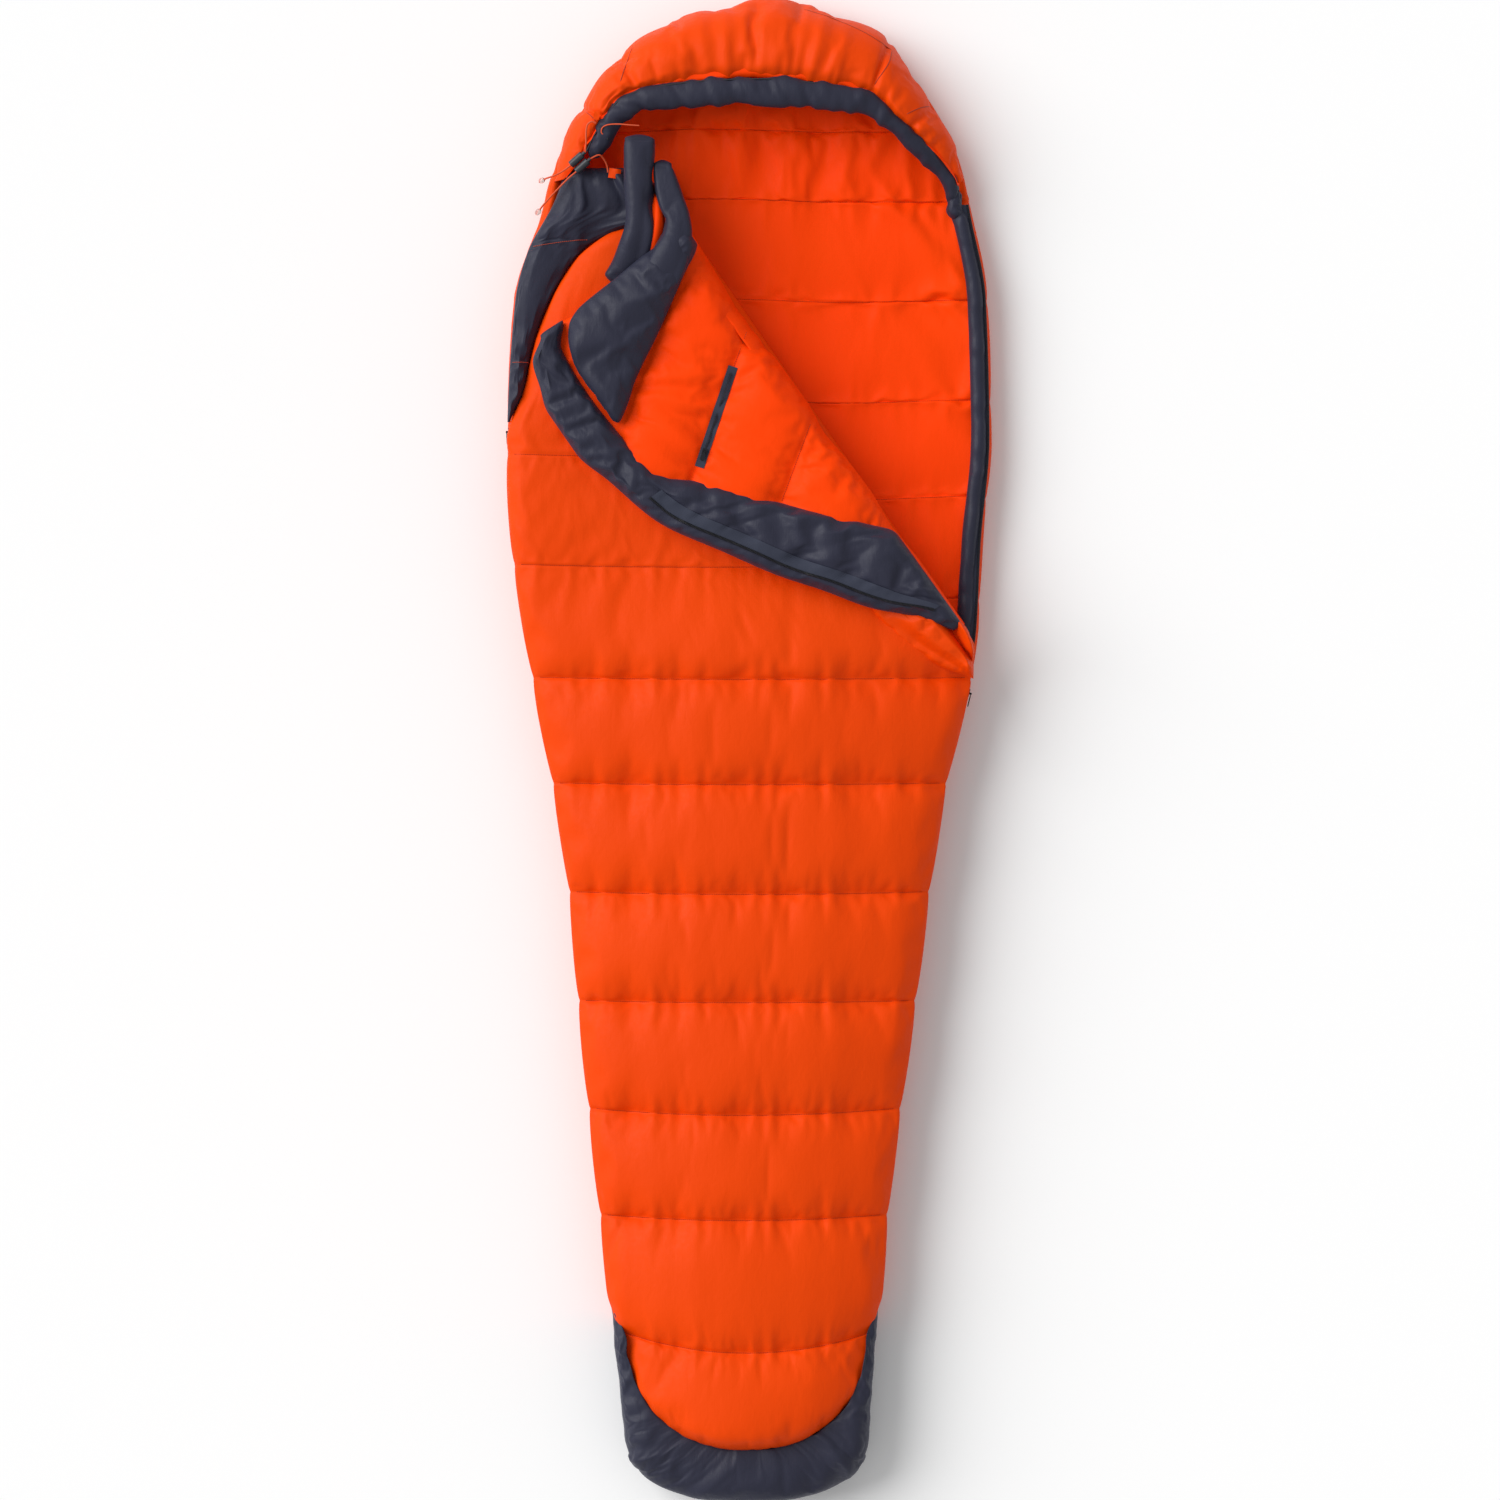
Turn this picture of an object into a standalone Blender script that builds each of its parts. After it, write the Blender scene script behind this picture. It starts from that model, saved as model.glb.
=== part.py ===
"""Mummy sleeping bag, lying flat on its back with the top quilt's corner folded back.

Metres, +Z up. The hood points to +Y, the feet to -Y, and the main zip runs down the +X side.
Every padded layer is three solids, as it is sewn: an outer shell, the insulation and a liner.
"""

import math

import bmesh
import bpy
from mathutils import Vector

# Overall size
LENGTH = 2.150
HALF_LENGTH = LENGTH / 2
GAP = 0.0003  # between pieces that touch
SHELL = 0.0015  # outer fabric with its seam allowance
LINER = 0.0012

# Heights of the layers
BACK_TOP = 0.042
TOP_UNDER = 0.072
TOP_TOP = 0.108
FOLD_Z = 0.1095
FLAP_UNDER = 0.111
FLAP_TOP = 0.139
TUBE_TOP = 0.158
COLLAR_TOP = 0.165
CORNER = 0.010  # roundness of a quilt's edge

# The bag's outline: (y, left x, right x), straight down the zip between y = 0.105 and -0.020
OUTLINE = [
    (0.934, -0.272, 0.302),
    (0.790, -0.292, 0.318),
    (0.647, -0.3335, 0.3435),
    (0.450, -0.3448, 0.3485),
    (0.300, -0.338, 0.336),
    (0.180, -0.321, 0.3300),
    (0.105, -0.308, 0.3190),
    (0.060, -0.300, 0.3080),
    (0.020, -0.292, 0.2982),
    (-0.020, -0.284, 0.2884),
    (-0.071, -0.275, 0.2780),
    (-0.215, -0.254, 0.2560),
    (-0.358, -0.242, 0.2380),
    (-0.502, -0.228, 0.2180),
    (-0.645, -0.213, 0.2000),
    (-0.789, -0.198, 0.1880),
    (-0.975, -0.180, 0.1740),
]
HOOD_CAP_START, HOOD_CENTRE = 0.790, 0.0155
FOOT_CAP_START = -0.975
FOOT_TIP = -0.800  # where the foot box's side horns begin
FOOT_CLEARANCE = 0.0030
FOOT_SEAM_START, FOOT_SEAM_HALF, FOOT_SEAM_DEPTH = -0.8465, 0.181, 0.158
QUILT_ENDS = (1.0700, -1.0015)
QUILT_HEAD = 0.836  # the top quilt's end at the neck
SHOULDER_TOP = 0.753
HOOD_STATIONS = [1.062, 1.045, 1.015, 0.975, 0.925, 0.860]
FOOT_STATIONS = [-0.8465, -0.885, -0.925, -0.955, -0.978, -0.993]
SHOULDER_STATIONS = [0.740, 0.725, 0.703, 0.661, 0.615, 0.570, 0.512]
SHOULDER_SEAM = [  # (y, x) of the seam between the shoulder panel and the orange quilt
    (0.510, -0.3225),
    (0.570, -0.3120),
    (0.615, -0.2980),
    (0.661, -0.2770),
    (0.703, -0.2506),
    (0.729, -0.2220),
    (SHOULDER_TOP, -0.1800),
]
SEAM_GAP = 0.001

# The fold in the top quilt: a point on it and its direction, towards the zip
FOLD_START = Vector((-0.0840, 0.7474, 0.0))
FOLD_ALONG = Vector((0.5707, -0.8211, 0.0)).normalized()
FOLD_ACROSS = Vector((-0.8211, -0.5707, 0.0)).normalized()
FOLD_CLEARANCE = 0.003
FOLD_AXIS = FOLD_START + Vector((0, 0, FOLD_Z))  # the folded corner turns about it

# The folded corner: (distance along the fold, how far it reaches from the fold)
FLAP_EDGE = [
    (0.010, 0.262),
    (0.030, 0.292),
    (0.065, 0.304),
    (0.104, 0.316),
    (0.173, 0.316),
    (0.232, 0.300),
    (0.313, 0.279),
    (0.413, 0.221),
    (0.478, 0.181),
    (0.537, 0.137),
    (0.594, 0.097),
    (0.640, 0.052),
    (0.690, 0.016),
]
# Inner edge of the draft tube sewn along the folded corner's zip
TUBE_EDGE = [
    (0.010, 0.225),
    (0.040, 0.250),
    (0.108, 0.255),
    (0.187, 0.251),
    (0.256, 0.240),
    (0.322, 0.180),
    (0.381, 0.132),
    (0.447, 0.074),
    (0.493, 0.033),
    (0.530, 0.006),
    (0.690, 0.004),
]
# Draft collar on the folded corner: (distance from the fold, start along it, end along it)
COLLAR = [
    (0.012, 0.010, 0.032),
    (0.040, 0.009, 0.047),
    (0.073, 0.009, 0.068),
    (0.128, 0.010, 0.1015),
    (0.189, 0.010, 0.136),
    (0.215, 0.016, 0.156),
    (0.232, 0.030, 0.166),
    (0.244, 0.055, 0.172),
]

# Hood, from its left end over the crown to its right end:
# (crown's outer x, y, band's outer x, y, band's inner x, y, height of the rim)
HOOD = [
    (-0.2649, 0.8566, -0.2348, 0.8522, -0.2175, 0.8436, 0.114),
    (-0.2549, 0.8867, -0.2219, 0.8766, -0.2003, 0.8652, 0.118),
    (-0.2348, 0.9197, -0.2046, 0.9053, -0.1817, 0.8895, 0.123),
    (-0.2061, 0.9700, -0.1788, 0.9327, -0.1558, 0.9097, 0.128),
    (-0.1486, 1.0246, -0.1271, 0.9485, -0.1185, 0.9140, 0.131),
    (-0.0625, 1.0620, -0.0481, 0.9571, -0.0438, 0.9197, 0.132),
    (0.0524, 1.0750, 0.0381, 0.9585, 0.0395, 0.9183, 0.132),
    (0.1458, 1.0480, 0.1170, 0.9499, 0.1113, 0.9140, 0.129),
    (0.2003, 1.0145, 0.1745, 0.9370, 0.1601, 0.9068, 0.123),
    (0.2491, 0.9456, 0.2147, 0.9025, 0.1966, 0.8858, 0.113),
    (0.2836, 0.8839, 0.2535, 0.8666, 0.2353, 0.8485, 0.096),
    (0.2990, 0.8500, 0.2879, 0.8321, 0.2702, 0.8183, 0.076),
    (0.3110, 0.8100, 0.3037, 0.8005, 0.2870, 0.7896, 0.062),
]
CROWN_ROWS = 11
CROWN_PADDING = 0.028
BAND_THICKNESS = 0.022

# Zips
TAPE = 0.0012
COIL_RADIUS = 0.0022
GUARD_TOP = 0.057
GUARD_WIDTH = 0.020
TAPE_WIDTH = 0.018
ZIP_OPEN_Y = 0.105  # where the closed stretch starts
ZIP_STRAIGHT_END = -0.020  # and the end of the straight run that the slider uses
GUARD_CORNER = 0.005
GUARD_INSET, TAPE_INSET, COIL_INSET = 0.0105, 0.007, 0.004  # in from the bag's outline
WALL_TAPE = 0.002  # both tapes of the closed stretch together
STOP_SIZE = (0.006, 0.005)
STOP_HALF_HEIGHT = 0.004
FLAP_TAPE_INSET, FLAP_COIL_INSET, FLAP_TAPE_WIDTH = 0.0225, 0.0195, 0.016
SLIDER_Y = 0.083
ZIP_Z = (BACK_TOP + TOP_UNDER) / 2

LEFT_ZIP = (0.470, 0.300)  # its head and foot
LEFT_ZIP_INSET = 0.0025
LEFT_TAPE = 0.0008
GUSSET_INSET, GUSSET = 0.0080, 0.006
POCKET_HEAD = Vector((-0.0223, 0.5464, 0.0))
POCKET_FOOT = Vector((-0.0696, 0.4057, 0.0))
POCKET_COIL = 0.0015
POCKET_TAPE_WIDTH = 0.014
PIN_RADIUS = 0.0006
PIN_STANDOFF = 0.0020
KNUCKLE_RADIUS = 0.0015
EAR_OFFSET = 0.0024

# Cord locks: the plunger slides in at the head end, above the cord's own bore
LOCK_RADIUS = 0.0055
LOCK_LENGTH = 0.022
LOCK_BORE = 0.0027
LOCK_BORE_DEPTH = 0.017
LOCK_PLUNGER_RISE = 0.0018
LOCK_CORD_DROP = 0.0031
PLUNGER_RADIUS = 0.0024
PLUNGER_LENGTH = 0.012
PLUNGER_OUT = 0.005
SPRING_RADIUS = 0.0018
SPRING_WIRE = 0.0003
LOCK_AXIS = Vector((-0.755, -0.656, -0.20)).normalized()
LOCK_CENTRES = [
    ("hood", Vector((-0.2456, 0.8443, 0.1225))),
    ("collar", Vector((-0.2376, 0.8351, 0.1225))),
]

# Cords, from where each leaves the bag to its end
CORD_RADIUS = 0.00125
NECK_CORD_RADIUS = 0.0010
BEAD_RADIUS = 0.0040
BEAD_LENGTH = 0.010
BEAD_SIDES = 10
NECK_TIP_RADIUS = 0.0016
NECK_TIP_LENGTH = 0.008
TAB_THICKNESS = 0.0012


def through_lock(index):
    """Places on the cord's straight way through a lock."""
    side = Vector((0, 0, 1)) - LOCK_AXIS * LOCK_AXIS.z
    middle = LOCK_CENTRES[index][1] - side.normalized() * LOCK_CORD_DROP
    return [middle + LOCK_AXIS * share * LOCK_LENGTH / 2 for share in (-1.4, -0.7, 0.0, 0.7, 1.4)]


HOOD_CORD = [
    Vector((-0.2180, 0.8960, 0.1255)),
    Vector((-0.2235, 0.8985, 0.1258)),
    Vector((-0.2300, 0.8940, 0.1250)),
    Vector((-0.2320, 0.8830, 0.1245)),
    Vector((-0.2320, 0.8690, 0.1238)),
    Vector((-0.2330, 0.8590, 0.1225)),
    *through_lock(0),
    Vector((-0.2690, 0.8265, 0.1130)),
    Vector((-0.2800, 0.8215, 0.1115)),
    Vector((-0.2885, 0.8190, 0.1075)),
    Vector((-0.2925, 0.8175, 0.1035)),
]
COLLAR_CORD = [
    Vector((-0.2010, 0.8270, 0.1112)),
    Vector((-0.2022, 0.8360, 0.1125)),
    Vector((-0.2065, 0.8450, 0.1165)),
    Vector((-0.2135, 0.8510, 0.1215)),
    *through_lock(1),
    Vector((-0.2580, 0.8180, 0.1130)),
    Vector((-0.2720, 0.8040, 0.1108)),
    Vector((-0.2850, 0.7900, 0.1108)),
    Vector((-0.2940, 0.7800, 0.1080)),
    Vector((-0.2985, 0.7745, 0.1035)),
]
NECK_CORD = [
    Vector((-0.1560, 0.8920, 0.1345)),
    Vector((-0.1700, 0.8930, 0.1330)),
    Vector((-0.1850, 0.8945, 0.1300)),
    Vector((-0.2000, 0.8940, 0.1262)),
    Vector((-0.2085, 0.8900, 0.1240)),
    Vector((-0.2100, 0.8830, 0.1225)),
    Vector((-0.2060, 0.8790, 0.1215)),
]
# Small fabric tabs that hold the cords: name, start, direction, (length, width), height
CORD_TABS = [
    ("hood_cord_tab", Vector((-0.2165, 0.9130, 0.0)), Vector((-0.10, -1.0, 0.0)), (0.012, 0.008), 0.1250),
    (
        "collar_cord_tab",
        Vector((-0.1830, 0.8240, 0.0)),
        Vector((-1.0, 0.15, 0.0)),
        (0.017, 0.014),
        TOP_TOP + GAP,
    ),
]
# Rolled end of the draft collar at the neck: (x, y, half its width)
COLLAR_ROLL = [
    (-0.1500, 0.8300, 0.022),
    (-0.1560, 0.7900, 0.0235),
    (-0.1660, 0.7600, 0.025),
    (-0.1740, 0.7400, 0.026),
]
ROLL_HEIGHT = 0.030


# ---------------------------------------------------------------- scene and helpers


def clear_scene():
    for obj in list(bpy.data.objects):
        bpy.data.objects.remove(obj, do_unlink=True)


def fabric(name, colour, roughness=0.6, metallic=0.0, alpha=1.0):
    """A material with one Principled BSDF."""
    material = bpy.data.materials.new(name)
    material.use_nodes = True
    shader = material.node_tree.nodes["Principled BSDF"]
    shader.inputs["Base Color"].default_value = (*colour, 1.0)
    shader.inputs["Roughness"].default_value = roughness
    shader.inputs["Metallic"].default_value = metallic
    shader.inputs["Alpha"].default_value = alpha
    return material


def add_mesh(name, points, faces, material, origin=None):
    """A closed mesh facing out; with an origin, the object stands there and its points are about it."""
    mesh = bpy.data.meshes.new(name)
    shift = Vector(origin) if origin else Vector((0, 0, 0))
    mesh.from_pydata([Vector(p) - shift for p in points], [], faces)
    shape = bmesh.new()
    shape.from_mesh(mesh)
    bmesh.ops.recalc_face_normals(shape, faces=shape.faces)
    shape.to_mesh(mesh)
    shape.free()
    mesh.materials.append(material)
    mesh.shade_smooth()
    mesh.set_sharp_from_angle(angle=math.radians(40))
    obj = bpy.data.objects.new(name, mesh)
    obj.location = shift
    bpy.context.scene.collection.objects.link(obj)
    return obj


def loft(name, loops, material, origin=None):
    """Bridges closed loops of equal length and caps the first and the last."""
    count = len(loops[0])
    points = [p for loop in loops for p in loop]
    faces = []
    for row in range(len(loops) - 1):
        for i in range(count):
            j = (i + 1) % count
            near, far = row * count, (row + 1) * count
            faces.append((near + i, near + j, far + j, far + i))
    last = (len(loops) - 1) * count
    faces.append(tuple(reversed(range(count))))
    faces.append(tuple(last + i for i in range(count)))
    return add_mesh(name, points, faces, material, origin)


def smooth_table(table, at, column=1):
    """Value of a table's column at a place, by a cubic that never overshoots its points."""
    rows = sorted(table)
    xs = [row[0] for row in rows]
    ys = [row[column] for row in rows]
    if at <= xs[0]:
        return ys[0]
    if at >= xs[-1]:
        return ys[-1]
    slopes = [(ys[i + 1] - ys[i]) / (xs[i + 1] - xs[i]) for i in range(len(xs) - 1)]
    bends = [slopes[0]]
    for before, after in zip(slopes, slopes[1:]):
        bends.append(0 if before * after <= 0 else 2 * before * after / (before + after))
    bends.append(slopes[-1])
    k = max(i for i in range(len(xs) - 1) if xs[i] <= at)
    h = xs[k + 1] - xs[k]
    t = (at - xs[k]) / h
    return (
        ys[k] * (1 + 2 * t) * (1 - t) ** 2
        + bends[k] * h * t * (1 - t) ** 2
        + ys[k + 1] * t * t * (3 - 2 * t)
        - bends[k + 1] * h * t * t * (1 - t)
    )


def smooth_path(points, steps):
    """A curve through the points, each stretch cut into steps."""
    rows = [Vector(p) for p in points]
    rows = [2 * rows[0] - rows[1]] + rows + [2 * rows[-1] - rows[-2]]
    path = []
    for a, b, c, d in zip(rows, rows[1:], rows[2:], rows[3:]):
        for k in range(steps):
            t = k / steps
            bend = (2 * a - 5 * b + 4 * c - d) * t * t + (3 * b - a - 3 * c + d) * t**3
            path.append(0.5 * (2 * b + (c - a) * t + bend))
    path.append(rows[-2])
    return path


def spread(start, end, count):
    """Evenly spaced values from start to end."""
    return [start + (end - start) * i / (count - 1) for i in range(count)]


# ---------------------------------------------------------------- outline


def cap_width(depth, power):
    """Half-width left at a depth into a rounded end, both as shares."""
    return max(1 - min(depth, 1) ** power, 0) ** (1 / power)


def outline_x(y, side):
    """Outer edge of the bag at y, side -1 left or +1 right."""
    if y > HOOD_CAP_START:
        depth = (y - HOOD_CAP_START) / (HALF_LENGTH - HOOD_CAP_START)
        edge = smooth_table(OUTLINE, y, 1 if side < 0 else 2)
        return HOOD_CENTRE + (edge - HOOD_CENTRE) * cap_width(depth, 2.0)
    if y < FOOT_CAP_START:
        depth = (FOOT_CAP_START - y) / (HALF_LENGTH + FOOT_CAP_START)
        return smooth_table(OUTLINE, FOOT_CAP_START, 1 if side < 0 else 2) * cap_width(depth, 2.5)
    return smooth_table(OUTLINE, y, 1 if side < 0 else 2)


def quilt_x(y, side):
    """Edge of the quilts: the outline, or the foot box's seam where that is further in."""
    edge = outline_x(y, side)
    if y > FOOT_TIP:
        return edge
    depth = (FOOT_SEAM_START - y) / FOOT_SEAM_DEPTH if y < FOOT_SEAM_START else 0
    seam = FOOT_SEAM_HALF * cap_width(depth, 2.2)
    return side * min(abs(edge) - 0.006, seam)


def fold_x(y):
    """The fold line's x at y."""
    along = (FOLD_START.y - y) / -FOLD_ALONG.y
    return FOLD_START.x + FOLD_ALONG.x * along


def fold_point(along, across, z):
    """A place measured from the fold."""
    return FOLD_START + FOLD_ALONG * along + FOLD_ACROSS * across + Vector((0, 0, z))


# ---------------------------------------------------------------- cross-sections


def pad_section(left, right, low, high, corner):
    """Rounded rectangle, as (across, z) points."""
    c = min(corner, (high - low) / 2.5, (right - left) / 2.5)
    return [
        (left + c, low), (right - c, low), (right, low + c), (right, high - c),
        (right - c, high), (left + c, high), (left, high - c), (left, low + c),
    ]


def sheet_section(left, right, low, high):
    return [(left, low), (right, low), (right, high), (left, high)]


def cover_section(left, right, open_z, closed_z, thickness, corner):
    """A shell over one face and down both sides of a pad; it opens towards open_z."""
    up = 1 if closed_z > open_z else -1
    corner = min(corner, (right - left) / 2.5)
    c, t = corner * up, thickness * up
    outer = [
        (left, open_z), (left, closed_z - c), (left + corner, closed_z),
        (right - corner, closed_z), (right, closed_z - c), (right, open_z),
    ]
    inner = [
        (right - thickness, open_z), (right - thickness, closed_z - c), (right - corner, closed_z - t),
        (left + corner, closed_z - t), (left + thickness, closed_z - c), (left + thickness, open_z),
    ]
    return outer + inner


def bag_loops(stations, section):
    """Loops across the bag: section(y) gives (x, z) points."""
    return [[Vector((x, y, z)) for x, z in section(y)] for y in stations]


def fold_loops(stations, section):
    """Loops across the folded corner: section(along) gives (across, z) points."""
    return [[fold_point(along, across, z) for across, z in section(along)] for along in stations]


def quilt_layers(prefix, stations, loops_of, edges, outer_z, inner_z, origin=None):
    """The shell, insulation and liner of one quilt. edges(station) gives its two sides."""
    up = 1 if inner_z > outer_z else -1
    inset = SHELL + GAP

    def shell(station):
        left, right = edges(station)
        return cover_section(left, right, inner_z, outer_z, SHELL, CORNER)

    def filling(station):
        left, right = edges(station)
        ends = sorted((outer_z + up * (SHELL + GAP), inner_z - up * (LINER + GAP)))
        return pad_section(left + inset, right - inset, *ends, CORNER)

    def liner(station):
        left, right = edges(station)
        ends = sorted((inner_z - up * LINER, inner_z))
        return sheet_section(left + inset, right - inset, *ends)

    loft(prefix + "_shell", loops_of(stations, shell), SHELL_ORANGE, origin)
    loft(prefix + "_fill", loops_of(stations, filling), WADDING, origin)
    loft(prefix + "_liner", loops_of(stations, liner), LINER_ORANGE, origin)


# ---------------------------------------------------------------- quilts


def back_quilt():
    top, bottom = QUILT_ENDS
    stations = [top] + HOOD_STATIONS + spread(HOOD_CAP_START, FOOT_TIP, 16) + FOOT_STATIONS + [bottom]

    def edges(y):
        return quilt_x(y, -1) + GAP, quilt_x(y, 1) - GAP

    quilt_layers("back", stations, bag_loops, edges, 0.0, BACK_TOP)


def shoulder_seam_x(y):
    """Right edge of the shoulder panel, where the top quilt's orange shell starts."""
    return smooth_table(SHOULDER_SEAM, y)


def top_quilt():
    stations = [SHOULDER_TOP - GAP] + SHOULDER_STATIONS
    stations += spread(0.450, 0.160, 4)
    stations += spread(ZIP_OPEN_Y, ZIP_STRAIGHT_END, 4)
    stations += spread(-0.100, FOOT_TIP, 7)
    stations += FOOT_STATIONS + [QUILT_ENDS[1]]

    def edges(y):
        left = quilt_x(y, -1) + GAP
        if y >= SHOULDER_STATIONS[-1]:
            left = max(left, shoulder_seam_x(y) + SEAM_GAP)
        return left, min(quilt_x(y, 1) - GAP, fold_x(y) - FOLD_CLEARANCE)

    quilt_layers("top", stations, bag_loops, edges, TOP_TOP, TOP_UNDER)


def shoulder_panel():
    stations = [QUILT_HEAD, 0.815, HOOD_CAP_START, SHOULDER_TOP + GAP]

    def wide(y):
        left, right = outline_x(y, -1) + GAP, fold_x(y) - FOLD_CLEARANCE
        return pad_section(left, right, TOP_UNDER, TOP_TOP, CORNER)

    def tapered(y):
        left, right = outline_x(y, -1) + GAP, shoulder_seam_x(y) - SEAM_GAP
        return pad_section(left, right, TOP_UNDER, TOP_TOP, CORNER)

    loops = bag_loops(stations, wide) + bag_loops([SHOULDER_TOP + GAP] + SHOULDER_STATIONS, tapered)
    loft("shoulder_panel", loops, NAVY)


def left_gusset():
    """Padded wall between the two quilts down the side without the main zip."""
    stations = [0.830] + spread(0.790, -0.795, 16)

    def wall(y):
        left = outline_x(y, -1) + GUSSET_INSET
        return sheet_section(left, left + GUSSET, BACK_TOP + GAP, TOP_UNDER - GAP)

    loft("left_gusset", bag_loops(stations, wall), SHELL_ORANGE)


def foot_box():
    """U-shaped padded end that closes both quilts round the feet."""

    def rim(edge, inset):
        ys = [FOOT_TIP - GAP, -0.850, -0.900, -0.940]
        ends = spread(0.0, 1.0, 8)
        left = [(edge(y, -1), y) for y in ys]
        right = [(edge(y, 1), y) for y in reversed(ys)]
        start, tip = inset
        arc = []
        for share in spread(-1.0, 1.0, 2 * len(ends) - 1):
            y = start + (tip - start) * math.cos(share * math.pi / 2)
            arc.append((edge(y, -1 if share < 0 else 1) if abs(share) > 1e-6 else 0.0, y))
        return [Vector((x, y, 0)) for x, y in left + arc + right]

    outer = rim(outline_x, (-0.970, -HALF_LENGTH))
    inner = rim(quilt_x, (-0.960, FOOT_SEAM_START - FOOT_SEAM_DEPTH - 0.001))
    loops = []
    for far, near in zip(outer, inner):
        away = (far - near).normalized()
        near = near + away * FOOT_CLEARANCE
        width = (far - near).length
        section = pad_section(0.0, width, 0.0, TOP_TOP, CORNER)
        loops.append([near + away * s + Vector((0, 0, z)) for s, z in section])
    loft("foot_box", loops, NAVY)


# ---------------------------------------------------------------- hood


def hood_rows():
    """Hood stations as (crown outer, band outer, band inner, rim height)."""
    rows = []
    outer = smooth_path([(r[0], r[1], 0) for r in HOOD], 2)
    middle = smooth_path([(r[2], r[3], r[6]) for r in HOOD], 2)
    inner = smooth_path([(r[4], r[5], 0) for r in HOOD], 2)
    for a, b, c in zip(outer, middle, inner):
        rows.append((a, Vector((b.x, b.y, 0)), c, b.z))
    return rows


def crown_loop(row, start, end):
    """A quarter-round slice of the crown between two depths under its surface."""
    outer, rim, _, height = row
    across = rim - outer
    width, rise = across.length - GAP, height - BACK_TOP - GAP
    across.normalize()
    scale = min(1.0, 0.6 * min(width, rise) / CROWN_PADDING)
    points = []
    for depth, turns in ((start, range(0, 6)), (end, range(5, -1, -1))):
        for turn in turns:
            angle = turn / 5 * math.pi / 2
            s = width - (width - depth * scale) * math.cos(angle)
            z = BACK_TOP + GAP + (rise - depth * scale) * math.sin(angle)
            points.append(outer + across * s + Vector((0, 0, z)))
    return points


def hood():
    rows = hood_rows()[: 2 * CROWN_ROWS - 1]
    layers = [
        ("hood_shell", 0.0, SHELL, SHELL_ORANGE),
        ("hood_fill", SHELL + 2 * GAP, CROWN_PADDING - LINER - 2 * GAP, WADDING),
        ("hood_liner", CROWN_PADDING - LINER, CROWN_PADDING, LINER_ORANGE),
    ]
    for name, start, end, colour in layers:
        loft(name, [crown_loop(row, start, end) for row in rows], colour)


def hood_face_band():
    """Padded band round the face; the hood's cord runs inside it."""
    loops = []
    for _, outer, inner, height in hood_rows():
        across = (inner - outer).normalized()
        width = (inner - outer).length
        low = max(height - BAND_THICKNESS, BACK_TOP + 2 * GAP)
        section = pad_section(2 * GAP, width, low, height - 0.001, 0.007)
        loops.append([outer + across * s + Vector((0, 0, z)) for s, z in section])
    loft("hood_face_band", loops, NAVY)


# ---------------------------------------------------------------- folded corner


def flap_edges(along):
    return FOLD_CLEARANCE - 0.001, smooth_table(FLAP_EDGE, along)


def flap():
    stations = [along for along, _ in FLAP_EDGE]
    quilt_layers("flap", stations, fold_loops, flap_edges, FLAP_UNDER, FLAP_TOP, FOLD_AXIS)

    def tube(along):
        near, far = smooth_table(TUBE_EDGE, along), smooth_table(FLAP_EDGE, along)
        return pad_section(near, far - 0.001, FLAP_TOP + GAP, TUBE_TOP, CORNER)

    loft("flap_draft_tube", fold_loops(stations, tube), NAVY, FOLD_AXIS)


def draft_collar():
    """Padded collar sewn across the folded corner's liner."""
    loops = []
    for across, start, end in COLLAR:
        section = pad_section(start, end, FLAP_TOP + GAP, COLLAR_TOP, CORNER)
        loops.append([fold_point(along, across, z) for along, z in section])
    loft("draft_collar", loops, NAVY, FOLD_AXIS)


def flap_zip():
    """Open half of the main zip that rides on the folded corner."""

    def tape(along):
        far = smooth_table(FLAP_EDGE, along) - FLAP_TAPE_INSET
        return sheet_section(far - FLAP_TAPE_WIDTH, far, TUBE_TOP + GAP, TUBE_TOP + GAP + TAPE)

    tape_stations = spread(0.290, 0.590, 11)
    loft("flap_zip_tape", fold_loops(tape_stations, tape), TAPE_NAVY, FOLD_AXIS)
    centre = TUBE_TOP + GAP + COIL_RADIUS
    path = [fold_point(u, smooth_table(FLAP_EDGE, u) - FLAP_COIL_INSET, centre) for u in tape_stations]
    tube_along("flap_zip_teeth", path, COIL_RADIUS, COIL_BLACK, origin=FOLD_AXIS)


def tube_along(name, path, radius, material, sides=6, origin=None):
    """A round tube whose rings stand square to its path."""
    loops = []
    for i, point in enumerate(path):
        ahead = path[min(i + 1, len(path) - 1)] - path[max(i - 1, 0)]
        side = ahead.cross(Vector((0, 0, 1))).normalized()
        rise = side.cross(ahead).normalized()
        ring = [2 * math.pi * k / sides for k in range(sides)]
        loops.append([point + (side * math.cos(a) + rise * math.sin(a)) * radius for a in ring])
    return loft(name, loops, material, origin)


def box_between(name, start, along, across, size, low, high, material, origin=None):
    """A flat bar from a start point: size is its length and width, low and high count from the start."""
    length, width = size
    loops = []
    for step in (0.0, length):
        base = start + along * step
        section = pad_section(-width / 2, width / 2, low, high, 0.0004)
        loops.append([base + across * s + Vector((0, 0, z)) for s, z in section])
    return loft(name, loops, material, origin)


# ---------------------------------------------------------------- zips on the bag


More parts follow.
